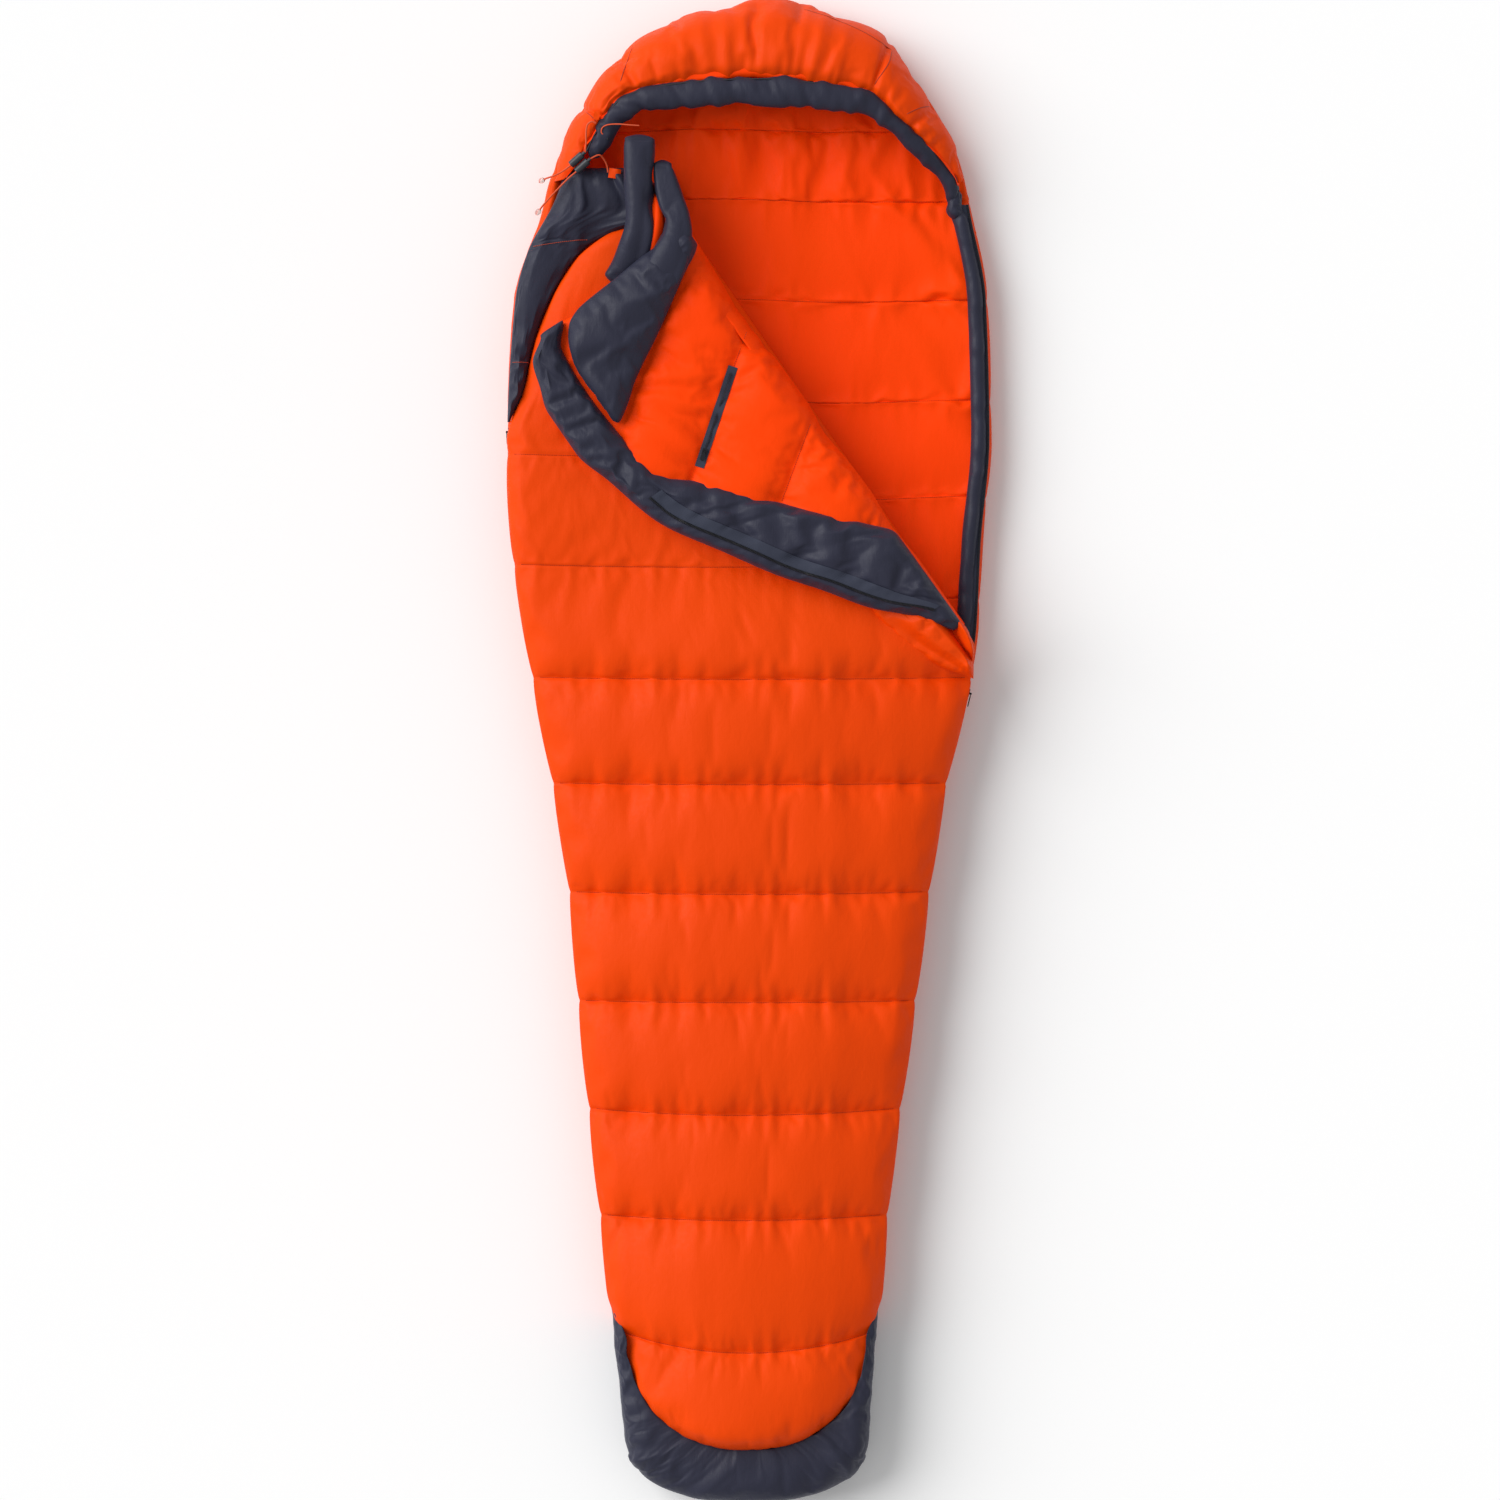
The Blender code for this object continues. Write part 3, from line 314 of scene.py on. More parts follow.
def settleFabric():
    # spare cloth under pressure puffs out between the seams and wrinkles beside them
    scene = bpy.context.scene
    frames = fabric["frames"]
    scene.frame_start, scene.frame_end = 1, frames
    for obj, held, grow, _ in settling:
        group = obj.vertex_groups.new(name="held")
        for level in np.unique(np.round(held, 1)):
            if level > 0:
                group.add(np.flatnonzero(np.round(held, 1) == level).tolist(), float(level), "REPLACE")
        cloth = obj.modifiers.new("cloth", "CLOTH")
        cloth.settings.quality = 4
        cloth.settings.mass = fabric["mass"]
        cloth.settings.tension_stiffness = fabric["stretch"]
        cloth.settings.compression_stiffness = fabric["stretch"]
        cloth.settings.shear_stiffness = fabric["shear"]
        cloth.settings.bending_stiffness = fabric["bend"]
        cloth.settings.use_pressure = True
        cloth.settings.uniform_pressure_force = fabric["pressure"]
        cloth.settings.shrink_min = -grow
        cloth.settings.vertex_group_mass = "held"
        cloth.settings.effector_weights.gravity = 0.0
        cloth.collision_settings.use_collision = False
        cloth.point_cache.frame_start, cloth.point_cache.frame_end = 1, frames
    for number in range(1, frames + 1):
        scene.frame_set(number)
    for obj, held, _, most in settling:
        mesh = obj.data
        start = np.empty(len(mesh.vertices) * 3)
        mesh.vertices.foreach_get("co", start)
        start = start.reshape(-1, 3)
        ready = obj.evaluated_get(bpy.context.evaluated_depsgraph_get())
        moved = np.empty(len(mesh.vertices) * 3)
        ready.data.vertices.foreach_get("co", moved)
        shift = moved.reshape(-1, 3) - start
        far = np.linalg.norm(shift, axis=1)[:, None]
        shift *= most * np.tanh(far / most) / np.maximum(far, 1e-9)
        mesh.vertices.foreach_set("co", (start + shift * (1 - held[:, None] ** 4)).reshape(-1))
        obj.modifiers.clear()
        obj.vertex_groups.clear()
        mesh.update()
        finer = obj.modifiers.new("finer", "SUBSURF")
        finer.levels = finer.render_levels = 1
        ready = obj.evaluated_get(bpy.context.evaluated_depsgraph_get())
        smooth = bpy.data.meshes.new_from_object(ready)
        obj.modifiers.clear()
        spots = np.empty(len(smooth.vertices) * 3)
        smooth.vertices.foreach_get("co", spots)
        spots[2::3] = np.maximum(spots[2::3], fabric["floor"])  # nothing sinks into the floor
        smooth.vertices.foreach_set("co", spots)
        obj.data = smooth
    scene.frame_set(1)


# colours and materials


def linear(colour):
    # sRGB hex to linear
    parts = [int(colour[i : i + 2], 16) / 255 for i in (1, 3, 5)]
    return [c / 12.92 if c <= 0.04045 else ((c + 0.055) / 1.055) ** 2.4 for c in parts] + [1.0]


def addNode(tree, kind, values=None, links=None):
    node = tree.nodes.new(kind)
    for key, value in (values or {}).items():
        if isinstance(key, str) and hasattr(node, key):
            setattr(node, key, value)
        else:
            node.inputs[key].default_value = value
    for key, source in (links or {}).items():
        tree.links.new(source, node.inputs[key])
    return node


def newMaterial(name, settings):
    material = bpy.data.materials.new(name)
    material.use_nodes = True
    tree = material.node_tree
    shader = tree.nodes["Principled BSDF"]
    for key, value in settings.items():
        shader.inputs[key].default_value = value
    return material, tree, shader


def threadScale(spacingMm):
    # a wave texture at scale 1 repeats every 314.16 mm
    return 314.16 / spacingMm


def wovenFabric(name, look):
    # coated nylon cloth: threads, ripstop squares where it has them, and the crinkles of a stuffed quilt
    material, tree, shader = newMaterial(name, {
        "Sheen Weight": look["sheen"],
        "Sheen Roughness": 0.45,
        "Sheen Tint": linear(look["sheenTint"]),
        "Specular IOR Level": look["gloss"],
    })
    spot = addNode(tree, "ShaderNodeTexCoord").outputs["Object"]
    patches = addNode(tree, "ShaderNodeTexNoise", {"Scale": 1000 / look["patchMm"], "Detail": 3.0},
                      {"Vector": spot})
    fine = addNode(tree, "ShaderNodeTexNoise", {"Scale": 1000 / look["glossMm"], "Detail": 4.0},
                   {"Vector": spot})
    tone = addNode(tree, "ShaderNodeMix", {"data_type": "RGBA", 6: linear(look["dark"]),
                                           7: linear(look["light"])}, {0: patches.outputs["Fac"]})
    tree.links.new(tone.outputs[2], shader.inputs["Base Color"])
    rough = addNode(tree, "ShaderNodeMapRange", {"From Min": 0.3, "From Max": 0.7, "To Min": look["rough"][0],
                                                 "To Max": look["rough"][1]}, {"Value": fine.outputs["Fac"]})
    tree.links.new(rough.outputs[0], shader.inputs["Roughness"])
    stretch = addNode(tree, "ShaderNodeMapping", {"Scale": look["crinkleStretch"]}, {"Vector": spot})
    crinkle = addNode(tree, "ShaderNodeTexNoise", {"Scale": 1000 / look["crinkleMm"], "Detail": 3.0,
                                                   "Distortion": 0.6}, {"Vector": stretch.outputs[0]})
    folds = addNode(tree, "ShaderNodeBump", {"Strength": look["crinkle"], "Distance": 0.003},
                    {"Height": crinkle.outputs["Fac"]})
    scale = threadScale(look["threadMm"])
    warp = addNode(tree, "ShaderNodeTexWave", {"bands_direction": "X", "Scale": scale}, {"Vector": spot})
    weft = addNode(tree, "ShaderNodeTexWave", {"bands_direction": "Y", "Scale": scale}, {"Vector": spot})
    threads = addNode(tree, "ShaderNodeMath", {"operation": "ADD"},
                      {0: warp.outputs["Fac"], 1: weft.outputs["Fac"]})
    weave = addNode(tree, "ShaderNodeBump", {"Strength": look["weave"], "Distance": 0.0003},
                    {"Height": threads.outputs[0], "Normal": folds.outputs[0]})
    tree.links.new(weave.outputs[0], shader.inputs["Normal"])
    return material


def plainMaterial(name, look):
    # moulded or coated hard parts: fine grain in the gloss and a faint orange-peel bump
    settings = {"Metallic": look.get("metal", 0.0)}
    settings.update(look.get("more", {}))
    material, tree, shader = newMaterial(name, settings)
    spot = addNode(tree, "ShaderNodeTexCoord").outputs["Object"]
    grain = addNode(tree, "ShaderNodeTexNoise", {"Scale": 1000 / look["grainMm"], "Detail": 3.0},
                    {"Vector": spot})
    tone = addNode(tree, "ShaderNodeMix", {"data_type": "RGBA", 6: linear(look["dark"]),
                                           7: linear(look["light"])}, {0: grain.outputs["Fac"]})
    tree.links.new(tone.outputs[2], shader.inputs["Base Color"])
    rough = addNode(tree, "ShaderNodeMapRange", {"To Min": look["rough"][0], "To Max": look["rough"][1]},
                    {"Value": grain.outputs["Fac"]})
    tree.links.new(rough.outputs[0], shader.inputs["Roughness"])
    bump = addNode(tree, "ShaderNodeBump", {"Strength": look["bump"], "Distance": 0.0002},
                   {"Height": grain.outputs["Fac"]})
    tree.links.new(bump.outputs[0], shader.inputs["Normal"])
    return material


# polyester shell, calendered on one side: a soft sheen, little gloss
shellLook = {"dark": "#e44000", "light": "#ef4800", "sheen": 0.0, "sheenTint": "#ff7a30", "gloss": 0.10,
             "rough": (0.46, 0.58), "patchMm": 260.0, "glossMm": 7.0, "crinkleMm": 11.0,
             "crinkleStretch": (1.0, 0.5, 1.0), "crinkle": 0.16, "threadMm": 2.4, "weave": 0.08}
# brighter and softer lining taffeta
linerLook = dict(shellLook, dark="#ff3e00", light="#ff4700", gloss=0.08, rough=(0.5, 0.62), crinkleMm=14.0)
# dark blue-grey polyester, shinier than the orange because its highlights show
navyLook = dict(shellLook, dark="#292a38", light="#303142", sheen=0.08, sheenTint="#8c90b8", gloss=0.20,
                rough=(0.42, 0.54), crinkleMm=9.0, crinkle=0.22, patchMm=160.0)
tapeLook = dict(navyLook, dark="#333644", light="#3a3e4d", gloss=0.15, rough=(0.6, 0.7), crinkle=0.06,
                threadMm=1.6, weave=0.45)  # woven zip tape, threads drawn twice as coarse so that they show

shellCloth = wovenFabric("polyester shell cloth, woven, orange", shellLook)
linerCloth = wovenFabric("polyester lining taffeta, woven, bright orange", linerLook)
navyCloth = wovenFabric("polyester shell cloth, woven, navy", navyLook)
tapeCloth = wovenFabric("polyester zip tape, woven, navy", tapeLook)
# black coil of drawn nylon: a low shine along each tooth
coilNylon = plainMaterial("nylon coil, extruded, black", {
    "dark": "#131318", "light": "#1c1c22", "rough": (0.3, 0.45), "grainMm": 2.0, "bump": 0.1,
})
# painted zinc: dark, with the metal's shine still under the paint
coatedZinc = plainMaterial("zinc slider, die cast and painted", {
    "dark": "#24252a", "light": "#303138", "metal": 0.75, "rough": (0.25, 0.4), "grainMm": 1.5, "bump": 0.15,
})
# drawn wire: bright grey with long highlights
bareSteel = plainMaterial("spring steel wire, drawn", {
    "dark": "#8c8d90", "light": "#a6a7aa", "metal": 1.0, "rough": (0.2, 0.35), "grainMm": 1.0, "bump": 0.1,
})
# moulded nylon: satin, with a fine spark-eroded grain
darkNylon = plainMaterial("nylon cord lock, moulded, dark", {
    "dark": "#23272d", "light": "#2b3037", "rough": (0.38, 0.5), "grainMm": 0.8, "bump": 0.2,
})
# clear plastic: glossy, and the cloth behind it shows through
clearBead = plainMaterial("clear plastic bead, moulded", {
    "dark": "#e9ded8", "light": "#f4ece8", "rough": (0.08, 0.2), "grainMm": 3.0, "bump": 0.05,
    "more": {"Transmission Weight": 0.7, "IOR": 1.49},
})
# twisted thread: matt, with its plies as a rough bump
threadLook = {"rough": (0.6, 0.75), "grainMm": 0.6, "bump": 0.3}
orangeThread = plainMaterial("polyester thread, twisted, orange",
                             dict(threadLook, dark="#b4482c", light="#c8553a"))
seamThread = plainMaterial("polyester thread, twisted, dark orange",
                           dict(threadLook, dark="#a02c02", light="#b43404"))
navyThread = plainMaterial("polyester thread, twisted, navy",
                           dict(threadLook, dark="#1c1d24", light="#262730"))
# braided sleeve over rubber: matt, with a strong bump from the braid
elasticCord = plainMaterial("elastic cord, braided, orange",
                            dict(threadLook, dark="#c4441c", light="#e0582c", grainMm=0.9, bump=0.8))
print("materials made")

# sizes shared by several pieces, in metres

bagOutline = [  # y, left x, right x
    (0.934, -0.272, 0.302), (0.790, -0.292, 0.318), (0.647, -0.3335, 0.3435), (0.450, -0.3448, 0.3485),
    (0.300, -0.338, 0.336), (0.180, -0.321, 0.330), (0.105, -0.308, 0.319), (0.060, -0.300, 0.308),
    (0.020, -0.292, 0.2982), (-0.020, -0.284, 0.2884), (-0.071, -0.275, 0.278), (-0.215, -0.254, 0.256),
    (-0.358, -0.242, 0.238), (-0.502, -0.228, 0.218), (-0.645, -0.213, 0.200), (-0.789, -0.198, 0.188),
    (-0.975, -0.180, 0.174),
]
hoodCapStart, hoodTip, hoodMiddle = 0.790, 1.075, 0.0155
footCapStart, footTip = -0.975, -1.075
footSeam = {  # sides are y, x down to the round end's start
    "start": -0.8465, "depth": 0.158, "leave": -0.785,
    "left": [(-0.785, -0.2000), (-0.815, -0.1920), (-0.8465, -0.178), (-1.05, -0.178)],
    "right": [(-0.785, 0.1900), (-0.815, 0.1825), (-0.8465, 0.173), (-1.05, 0.173)],
}
heights = {"backTop": 0.042, "topUnder": 0.072, "topTop": 0.108, "flapUnder": 0.111, "flapTop": 0.139,
           "tubeTop": 0.158, "collarTop": 0.165, "zip": 0.057}
foldStart = np.array([-0.0840, 0.7474])
foldAlong = np.array([0.5707, -0.8211])
foldAcross = np.array([-0.8211, -0.5707])
flapEdge = [  # along the fold, reach from it
    (0.010, 0.262), (0.030, 0.292), (0.065, 0.304), (0.104, 0.316), (0.173, 0.316), (0.232, 0.300),
    (0.313, 0.279), (0.413, 0.221), (0.478, 0.181), (0.537, 0.137), (0.594, 0.097), (0.640, 0.052),
    (0.690, 0.016),
]
tubeEdge = [  # along the fold, where the draft tube starts
    (0.010, 0.225), (0.040, 0.250), (0.108, 0.255), (0.187, 0.251), (0.256, 0.240), (0.322, 0.180),
    (0.381, 0.132), (0.447, 0.074), (0.493, 0.033), (0.530, 0.006), (0.690, 0.004),
]
shoulderSeam = [  # y, x
    (0.468, -0.3436), (0.490, -0.3345), (0.512, -0.3235), (0.570, -0.3120), (0.615, -0.2980),
    (0.661, -0.2770), (0.703, -0.2506), (0.729, -0.2220), (0.753, -0.1800),
]
hoodRim = [  # crown's outer x, y, band's outer x, y, band's inner x, y, height of the rim
    (-0.2795, 0.8180, -0.2590, 0.8200, -0.2420, 0.8200, 0.104),
    (-0.2649, 0.8566, -0.2348, 0.8522, -0.2175, 0.8436, 0.114),
    (-0.2549, 0.8867, -0.2219, 0.8766, -0.2003, 0.8652, 0.118),
    (-0.2348, 0.9197, -0.2046, 0.9053, -0.1817, 0.8895, 0.123),
    (-0.2061, 0.9700, -0.1788, 0.9327, -0.1558, 0.9097, 0.128),
    (-0.1486, 1.0246, -0.1271, 0.9485, -0.1185, 0.9140, 0.131),
    (-0.0625, 1.0620, -0.0481, 0.9571, -0.0438, 0.9197, 0.132),
    (0.0524, 1.0750, 0.0381, 0.9585, 0.0395, 0.9183, 0.132),
    (0.1458, 1.0480, 0.1170, 0.9499, 0.1113, 0.9140, 0.129),
    (0.2003, 1.0145, 0.1745, 0.9370, 0.1601, 0.9068, 0.123),
    (0.2491, 0.9456, 0.2147, 0.9025, 0.1966, 0.8858, 0.113),
    (0.2836, 0.8839, 0.2535, 0.8666, 0.2353, 0.8485, 0.096),
    (0.2990, 0.8500, 0.2879, 0.8321, 0.2702, 0.8183, 0.076),
    (0.3110, 0.8100, 0.3037, 0.8005, 0.2870, 0.7896, 0.062),
]


def footSide(y, side):
    # where the foot box's seam leaves the outline and runs inwards
    y = np.asarray(y, float)
    table = footSeam["left"] if side < 0 else footSeam["right"]
    return np.where(y > footSeam["leave"], side, smoothTable(table, y))


def capWidth(depth, power):
    # 1 where a rounded end starts, 0 at its tip
    return (1 - np.clip(depth, 0, 1) ** power) ** (1 / power)


def outlineX(y, side):
    # outer edge of the bag; side is -1 left, +1 right
    y = np.asarray(y, float)
    edge = smoothTable(bagOutline, y, 1 if side < 0 else 2)
    head = hoodMiddle + (edge - hoodMiddle) * capWidth((y - hoodCapStart) / (hoodTip - hoodCapStart), 2.0)
    foot = edge * capWidth((footCapStart - y) / (footCapStart - footTip), 2.5)
    return np.where(y > hoodCapStart, head, np.where(y < footCapStart, foot, edge))


def foldX(y):
    # where the fold line crosses a row of the quilt
    return foldStart[0] + foldAlong[0] * (foldStart[1] - np.asarray(y)) / -foldAlong[1]


def foldPlace(along, across):
    # plan place from the distance along the fold line and away from it
    return foldStart + np.multiply.outer(along, foldAlong) + np.multiply.outer(across, foldAcross)


def bafflePuff(y, seams):
    # 0 on a seam, 1 halfway to the next; also the distance to the nearest seam and the gap between them
    seams = np.sort(np.asarray(seams, float))
    k = np.clip(np.searchsorted(seams, y) - 1, 0, len(seams) - 2)
    low, high = seams[k], seams[k + 1]
    t = np.clip((y - low) / (high - low), 0, 1)
    return (4 * t * (1 - t)) ** 0.5, np.minimum(np.abs(y - low), np.abs(high - y)), high - low


def puckers(x, distance, seed, size=0.012):
    # short gathers that stand square to a seam and fade away from it
    near = rumple(x, distance * 0.25, size, seed) * np.exp(-distance / 0.014)
    far = rumple(x, distance * 0.3, size * 2.6, seed + 1) * np.exp(-distance / 0.040)
    return 0.6 * near + 0.8 * far


# top quilt

topQuilt = {
    "seams": [0.4244, 0.2664, 0.1048, -0.0467, -0.2025, -0.3583, -0.5134, -0.6656, -0.8350],
    "sag": [0.004, 0.004, 0.003, 0.002, 0.003, 0.002, 0.008, 0.006, 0.026],  # each seam's hang at the middle
    "head": 0.753, "crown": 0.024, "droop": 0.013, "puff": 0.013, "pucker": 0.0050, "scallop": 0.0045,
    "middle": 0.084, "hem": 0.012, "rows": 17, "columns": 86, "rim": 0.030,
}


def padRows(seams, rows):
    # stations from the head to the foot, closer together by each seam
    parts = [crowded(a, b, rows)[:-1] for a, b in zip(seams, seams[1:])]
    return np.r_[np.concatenate(parts), seams[-1]]


def makeTopQuilt():
    piece = topQuilt
    ends = [piece["head"]] + piece["seams"] + [footSeam["start"] - footSeam["depth"]]
    stations = padRows(ends, piece["rows"])
    flat, u = padGrid(stations, edgeCrowded(piece["columns"], 0.05, 6))
    # seams hang a little towards the foot at the middle, and the last one is the foot seam's arc
    sag = np.interp(flat, sorted(ends), [0.0] + piece["sag"][::-1] + [0.0])
    bow = 1 - (2 * u - 1) ** 2
    y = flat - sag * bow
    lastSeam = ends[-2]
    last = np.clip((lastSeam - flat) / (lastSeam - ends[-1]), 0, 1)
    arc = footSeam["start"] - footSeam["depth"] * capWidth(np.abs(2 * u - 1), 2.1)
    y = np.where(last > 0, (lastSeam - piece["sag"][-1] * bow) * (1 - last) + arc * last, y)
    puff, near, gap = bafflePuff(flat, ends)
    gap = np.where(last > 0, np.maximum(lastSeam - arc, 0.012), gap)
    near = np.where(last > 0, np.minimum(last, 1 - last) * gap, near)
    left = outlineX(y, -1)
    besidePanel = flat > shoulderSeam[0][0]
    left = np.where(besidePanel, np.maximum(left, smoothTable(shoulderSeam, flat) + 0.001), left)
    left = np.where(besidePanel, left, left - piece["scallop"] * puff * (flat > -0.80))
    right = outlineX(y, 1) + piece["scallop"] * puff * (flat > -0.80) * (flat < 0.10)
    right = np.minimum(right, foldX(y) - 0.003)
    left, right = np.maximum(left, footSide(flat, -1)), np.minimum(right, footSide(flat, 1))
    x = left + (right - left) * u
    side = np.minimum(u, 1 - u) * (right - left)
    foot = np.where(last > 0, roundEdge((1 - last) * gap, 0.03), 1.0)
    full = roundEdge(side, piece["rim"]) * roundEdge(piece["head"] - flat, 0.03) * foot
    crown = (piece["crown"] * bow - piece["droop"] * (1 - bow)) * ease(flat, 0.30, 0.10)
    lift = piece["puff"] * np.minimum(gap / 0.155, 1) * (puff - 0.75)
    lift += piece["pucker"] * puckers(x, near, 11)
    lift += 0.0022 * rumple(x * 0.6, y, 0.085, 21) + 0.0012 * rumple(x, y * 0.5, 0.035, 23)
    calm = 1 - 0.65 * ease(flat, 0.10, 0.30)  # flatter where the folded corner lies on it
    middle = piece["middle"]
    z = middle + (heights["topTop"] - middle + crown + lift * calm) * full
    upper = np.stack([x, y, z], -1)
    z = middle - (middle - heights["topUnder"] - 0.003 * (1 - puff)) * full
    lower = np.stack([x, y, z], -1)
    obj = closedPad("topQuilt", upper, lower, [shellCloth, linerCloth], (1, side < piece["hem"]))
    sewn = np.maximum(bell(near, 0.0025), bell(side, 0.004))
    hold(obj, np.maximum(sewn, ease(calm, 1.0, 0.35) * 0.3), np.ones_like(sewn), 0.022, 0.006)
    enter(obj, "bag", ("top_shell", "top_fill", "top_liner"))
    return obj, ends


topQuiltObject, topEnds = makeTopQuilt()
print("top quilt", len(topQuiltObject.data.vertices), "points")

# shoulder panel

shoulderPanel = {
    "seams": [0.836, 0.722, 0.556, 0.470], "columns": 34, "rows": 17, "puff": 0.010, "pleat": 0.006,
    "fanFrom": (-0.235, 0.90),  # the pleats spread from here
    "headSeam": [(0.748, -0.178), (0.765, -0.118), (0.790, -0.122), (0.836, -0.152)],  # y, x past the quilt
    "middle": 0.086, "hem": 0.012,
}


def makeShoulderPanel():
    piece = shoulderPanel
    stations = padRows(piece["seams"], piece["rows"])
    flat, u = padGrid(stations, edgeCrowded(piece["columns"], 0.07, 5))
    left = outlineX(flat, -1) - 0.001 + 0.019 * ease(flat, 0.715, 0.815)
    seam = smoothTable(shoulderSeam[:-1] + piece["headSeam"], flat)
    right = np.maximum(seam, left + 0.004)
    y = flat + 0.010 * np.sin(u * math.pi) * ease(flat, 0.60, 0.72) * ease(flat, 0.83, 0.74)
    x = left + (right - left) * u
    puff, near, gap = bafflePuff(flat, piece["seams"])
    side = np.minimum(u, 1 - u) * (right - left)
    full = roundEdge(side, 0.024) * roundEdge(0.836 - y, 0.02) * roundEdge(y - 0.468, 0.02)
    lift = piece["puff"] * np.minimum(gap / 0.12, 1) * (puff - 0.75)
    lift += 0.0025 * puckers(x, near, 31) + 0.0020 * rumple(x, y, 0.06, 33)
    # pleats that fan out from the cord lock beside the rolled collar
    overX, overY = x - piece["fanFrom"][0], y - piece["fanFrom"][1]
    pleat = rumple(np.arctan2(overY, overX) * 0.30, np.hypot(overY, overX) * 0.08, 0.030, 37)
    lift += piece["pleat"] * pleat * ease(x, -0.27, -0.21) * ease(y, 0.64, 0.72)
    middle = piece["middle"]
    z = middle + (heights["topTop"] - middle + lift) * full
    upper = np.stack([x, y, z], -1)
    z = middle - (middle - heights["topUnder"]) * full
    lower = np.stack([x, y, z], -1)
    obj = closedPad("shoulderPanel", upper, lower, [navyCloth, linerCloth], (1, side < piece["hem"]))
    sewn = np.maximum(bell(near, 0.003), bell(side, 0.004))
    hold(obj, sewn, np.ones_like(sewn), 0.06, 0.008)
    return enter(obj, "bag", ("shoulder_panel",))


shoulderObject = makeShoulderPanel()
print("shoulder panel made")

# back quilt

backQuilt = {
    "seams": [0.891, 0.7905, 0.647, 0.502, 0.3626, 0.2161, 0.071, -0.075, -0.220, -0.365, -0.510, -0.655,
              -0.800],
    "head": 1.066, "foot": -1.0015, "rows": 15, "columns": 84, "puff": 0.012, "scallop": 0.003,
    "hang": 0.0078, "slant": 0.0066, "middle": 0.024, "hem": 0.016,
}


def seamBow(x, y):
    # how far the lining's seams wander along the bag
    return rumple(x, y * 0.2, 0.20, 41) * 0.004


def makeBackQuilt():
    piece = backQuilt
    ends = [piece["head"], 0.985] + piece["seams"] + [-0.93, piece["foot"]]
    y, u = padGrid(padRows(ends, piece["rows"]), edgeCrowded(piece["columns"], 0.05, 6))
    puff, near, gap = bafflePuff(y, ends)
    left, right = outlineX(y, -1), outlineX(y, 1)
    depth = capWidth((footSeam["start"] - y) / footSeam["depth"], 2.2)
    scallop = piece["scallop"] * puff * (y > -0.77) * (y < 0.8)
    left = np.maximum(left, footSide(y, -1) * depth) - scallop
    right = np.minimum(right, footSide(y, 1) * depth) + scallop
    x = left + (right - left) * u
    side = np.minimum(u, 1 - u) * (right - left)
    full = roundEdge(side, 0.022) * roundEdge(piece["head"] - y, 0.02) * roundEdge(y - piece["foot"], 0.02)
    openHere = ease(y, 0.10, 0.30)
    lift = piece["puff"] * np.minimum(gap / 0.145, 1) * (puff - 0.55)
    lift += (0.0025 + 0.003 * ease(y, 0.70, 0.88)) * puckers(x, near, 43, 0.014)
    # long soft wrinkles hanging from the hood's seam and in from the zip side
    hang = rumple(x, y * 0.18, 0.030, 45) * ease(y, 0.72, 0.86) * ease(y, 0.97, 0.90)
    slant = rumple(x + 0.9 * y, (x - y) * 0.25, 0.034, 47)
    slant = slant * ease(side, 0.16, 0.05) * (x > 0) * ease(y, 0.35, 0.62)
    lift += piece["hang"] * hang + piece["slant"] * slant + 0.0018 * rumple(x, y, 0.07, 49)
    lift = lift * (0.25 + 0.75 * openHere)
    middle = piece["middle"]
    z = middle + (heights["backTop"] - middle + lift) * full
    upper = np.stack([x, y + seamBow(x, y) * full, z], -1)
    z = middle - (middle - 0.0045 * (1 - puff) * ease(side, 0.0, 0.03)) * full
    lower = np.stack([x, y, z], -1)
    obj = closedPad("backQuilt", upper, lower, [linerCloth, shellCloth], (0, side < piece["hem"]))
    sewn = np.maximum(bell(near, 0.0025), bell(side, 0.006))
    hold(obj, np.maximum(sewn, 1 - openHere), np.maximum(sewn, 0.6), 0.06, 0.008)
    return enter(obj, "bag", ("back_shell", "back_fill", "back_liner"))


backObject = makeBackQuilt()
print("back quilt", len(backObject.data.vertices), "points")

# side gusset between the quilts, on the side without the main zip

leftGusset = {"head": 0.868, "foot": -0.804, "stations": 334, "around": 16, "inset": 0.0105,
              "halfWidth": 0.0085, "halfHeight": 0.021, "zipTuck": 0.011, "zip": (0.475, 0.295)}


def makeLeftGusset():
    piece = leftGusset
    y = np.linspace(piece["head"], piece["foot"], piece["stations"])
    puff = bafflePuff(y, topEnds)[0]
    zipHead, zipFoot = piece["zip"]
    tuck = ease(y, zipFoot - 0.01, zipFoot + 0.01) * ease(y, zipHead + 0.01, zipHead - 0.01)
    x = outlineX(y, -1) + piece["inset"] - 0.003 * puff + piece["zipTuck"] * tuck  # room for the left zip
    centres = np.stack([x, y, np.full(len(y), heights["zip"])], -1)

    def swell(length, angle):
        return 0.10 * rumple(length, angle * 0.004, 0.014, 51) + 0.06 * rumple(length, angle * 0.02, 0.05, 52)

    sides = np.tile((piece["halfWidth"], 0, 0), (len(y), 1))
    ups = np.tile((0, 0, piece["halfHeight"]), (len(y), 1))
    obj = ringTube("leftGusset", centres, sides, ups, piece["around"], [shellCloth], swell)
    holdTube(obj, piece["around"], 0.06, 0.004)
    return enter(obj, "bag", ("left_gusset",))


makeLeftGusset()

# foot box

footBox = {
    "stations": 190, "around": 34, "gather": 0.0065, "half": 0.050, "middle": 0.0525,
    "roundShare": 0.70,  # the middle of the run is the round end, the rest are the horns
    "outer": (-0.965, 0.110, 0.171), "inner": (-0.955, 0.049, 0.163),  # y of the sides, round depth, horn
    "tuck": 0.006,
}


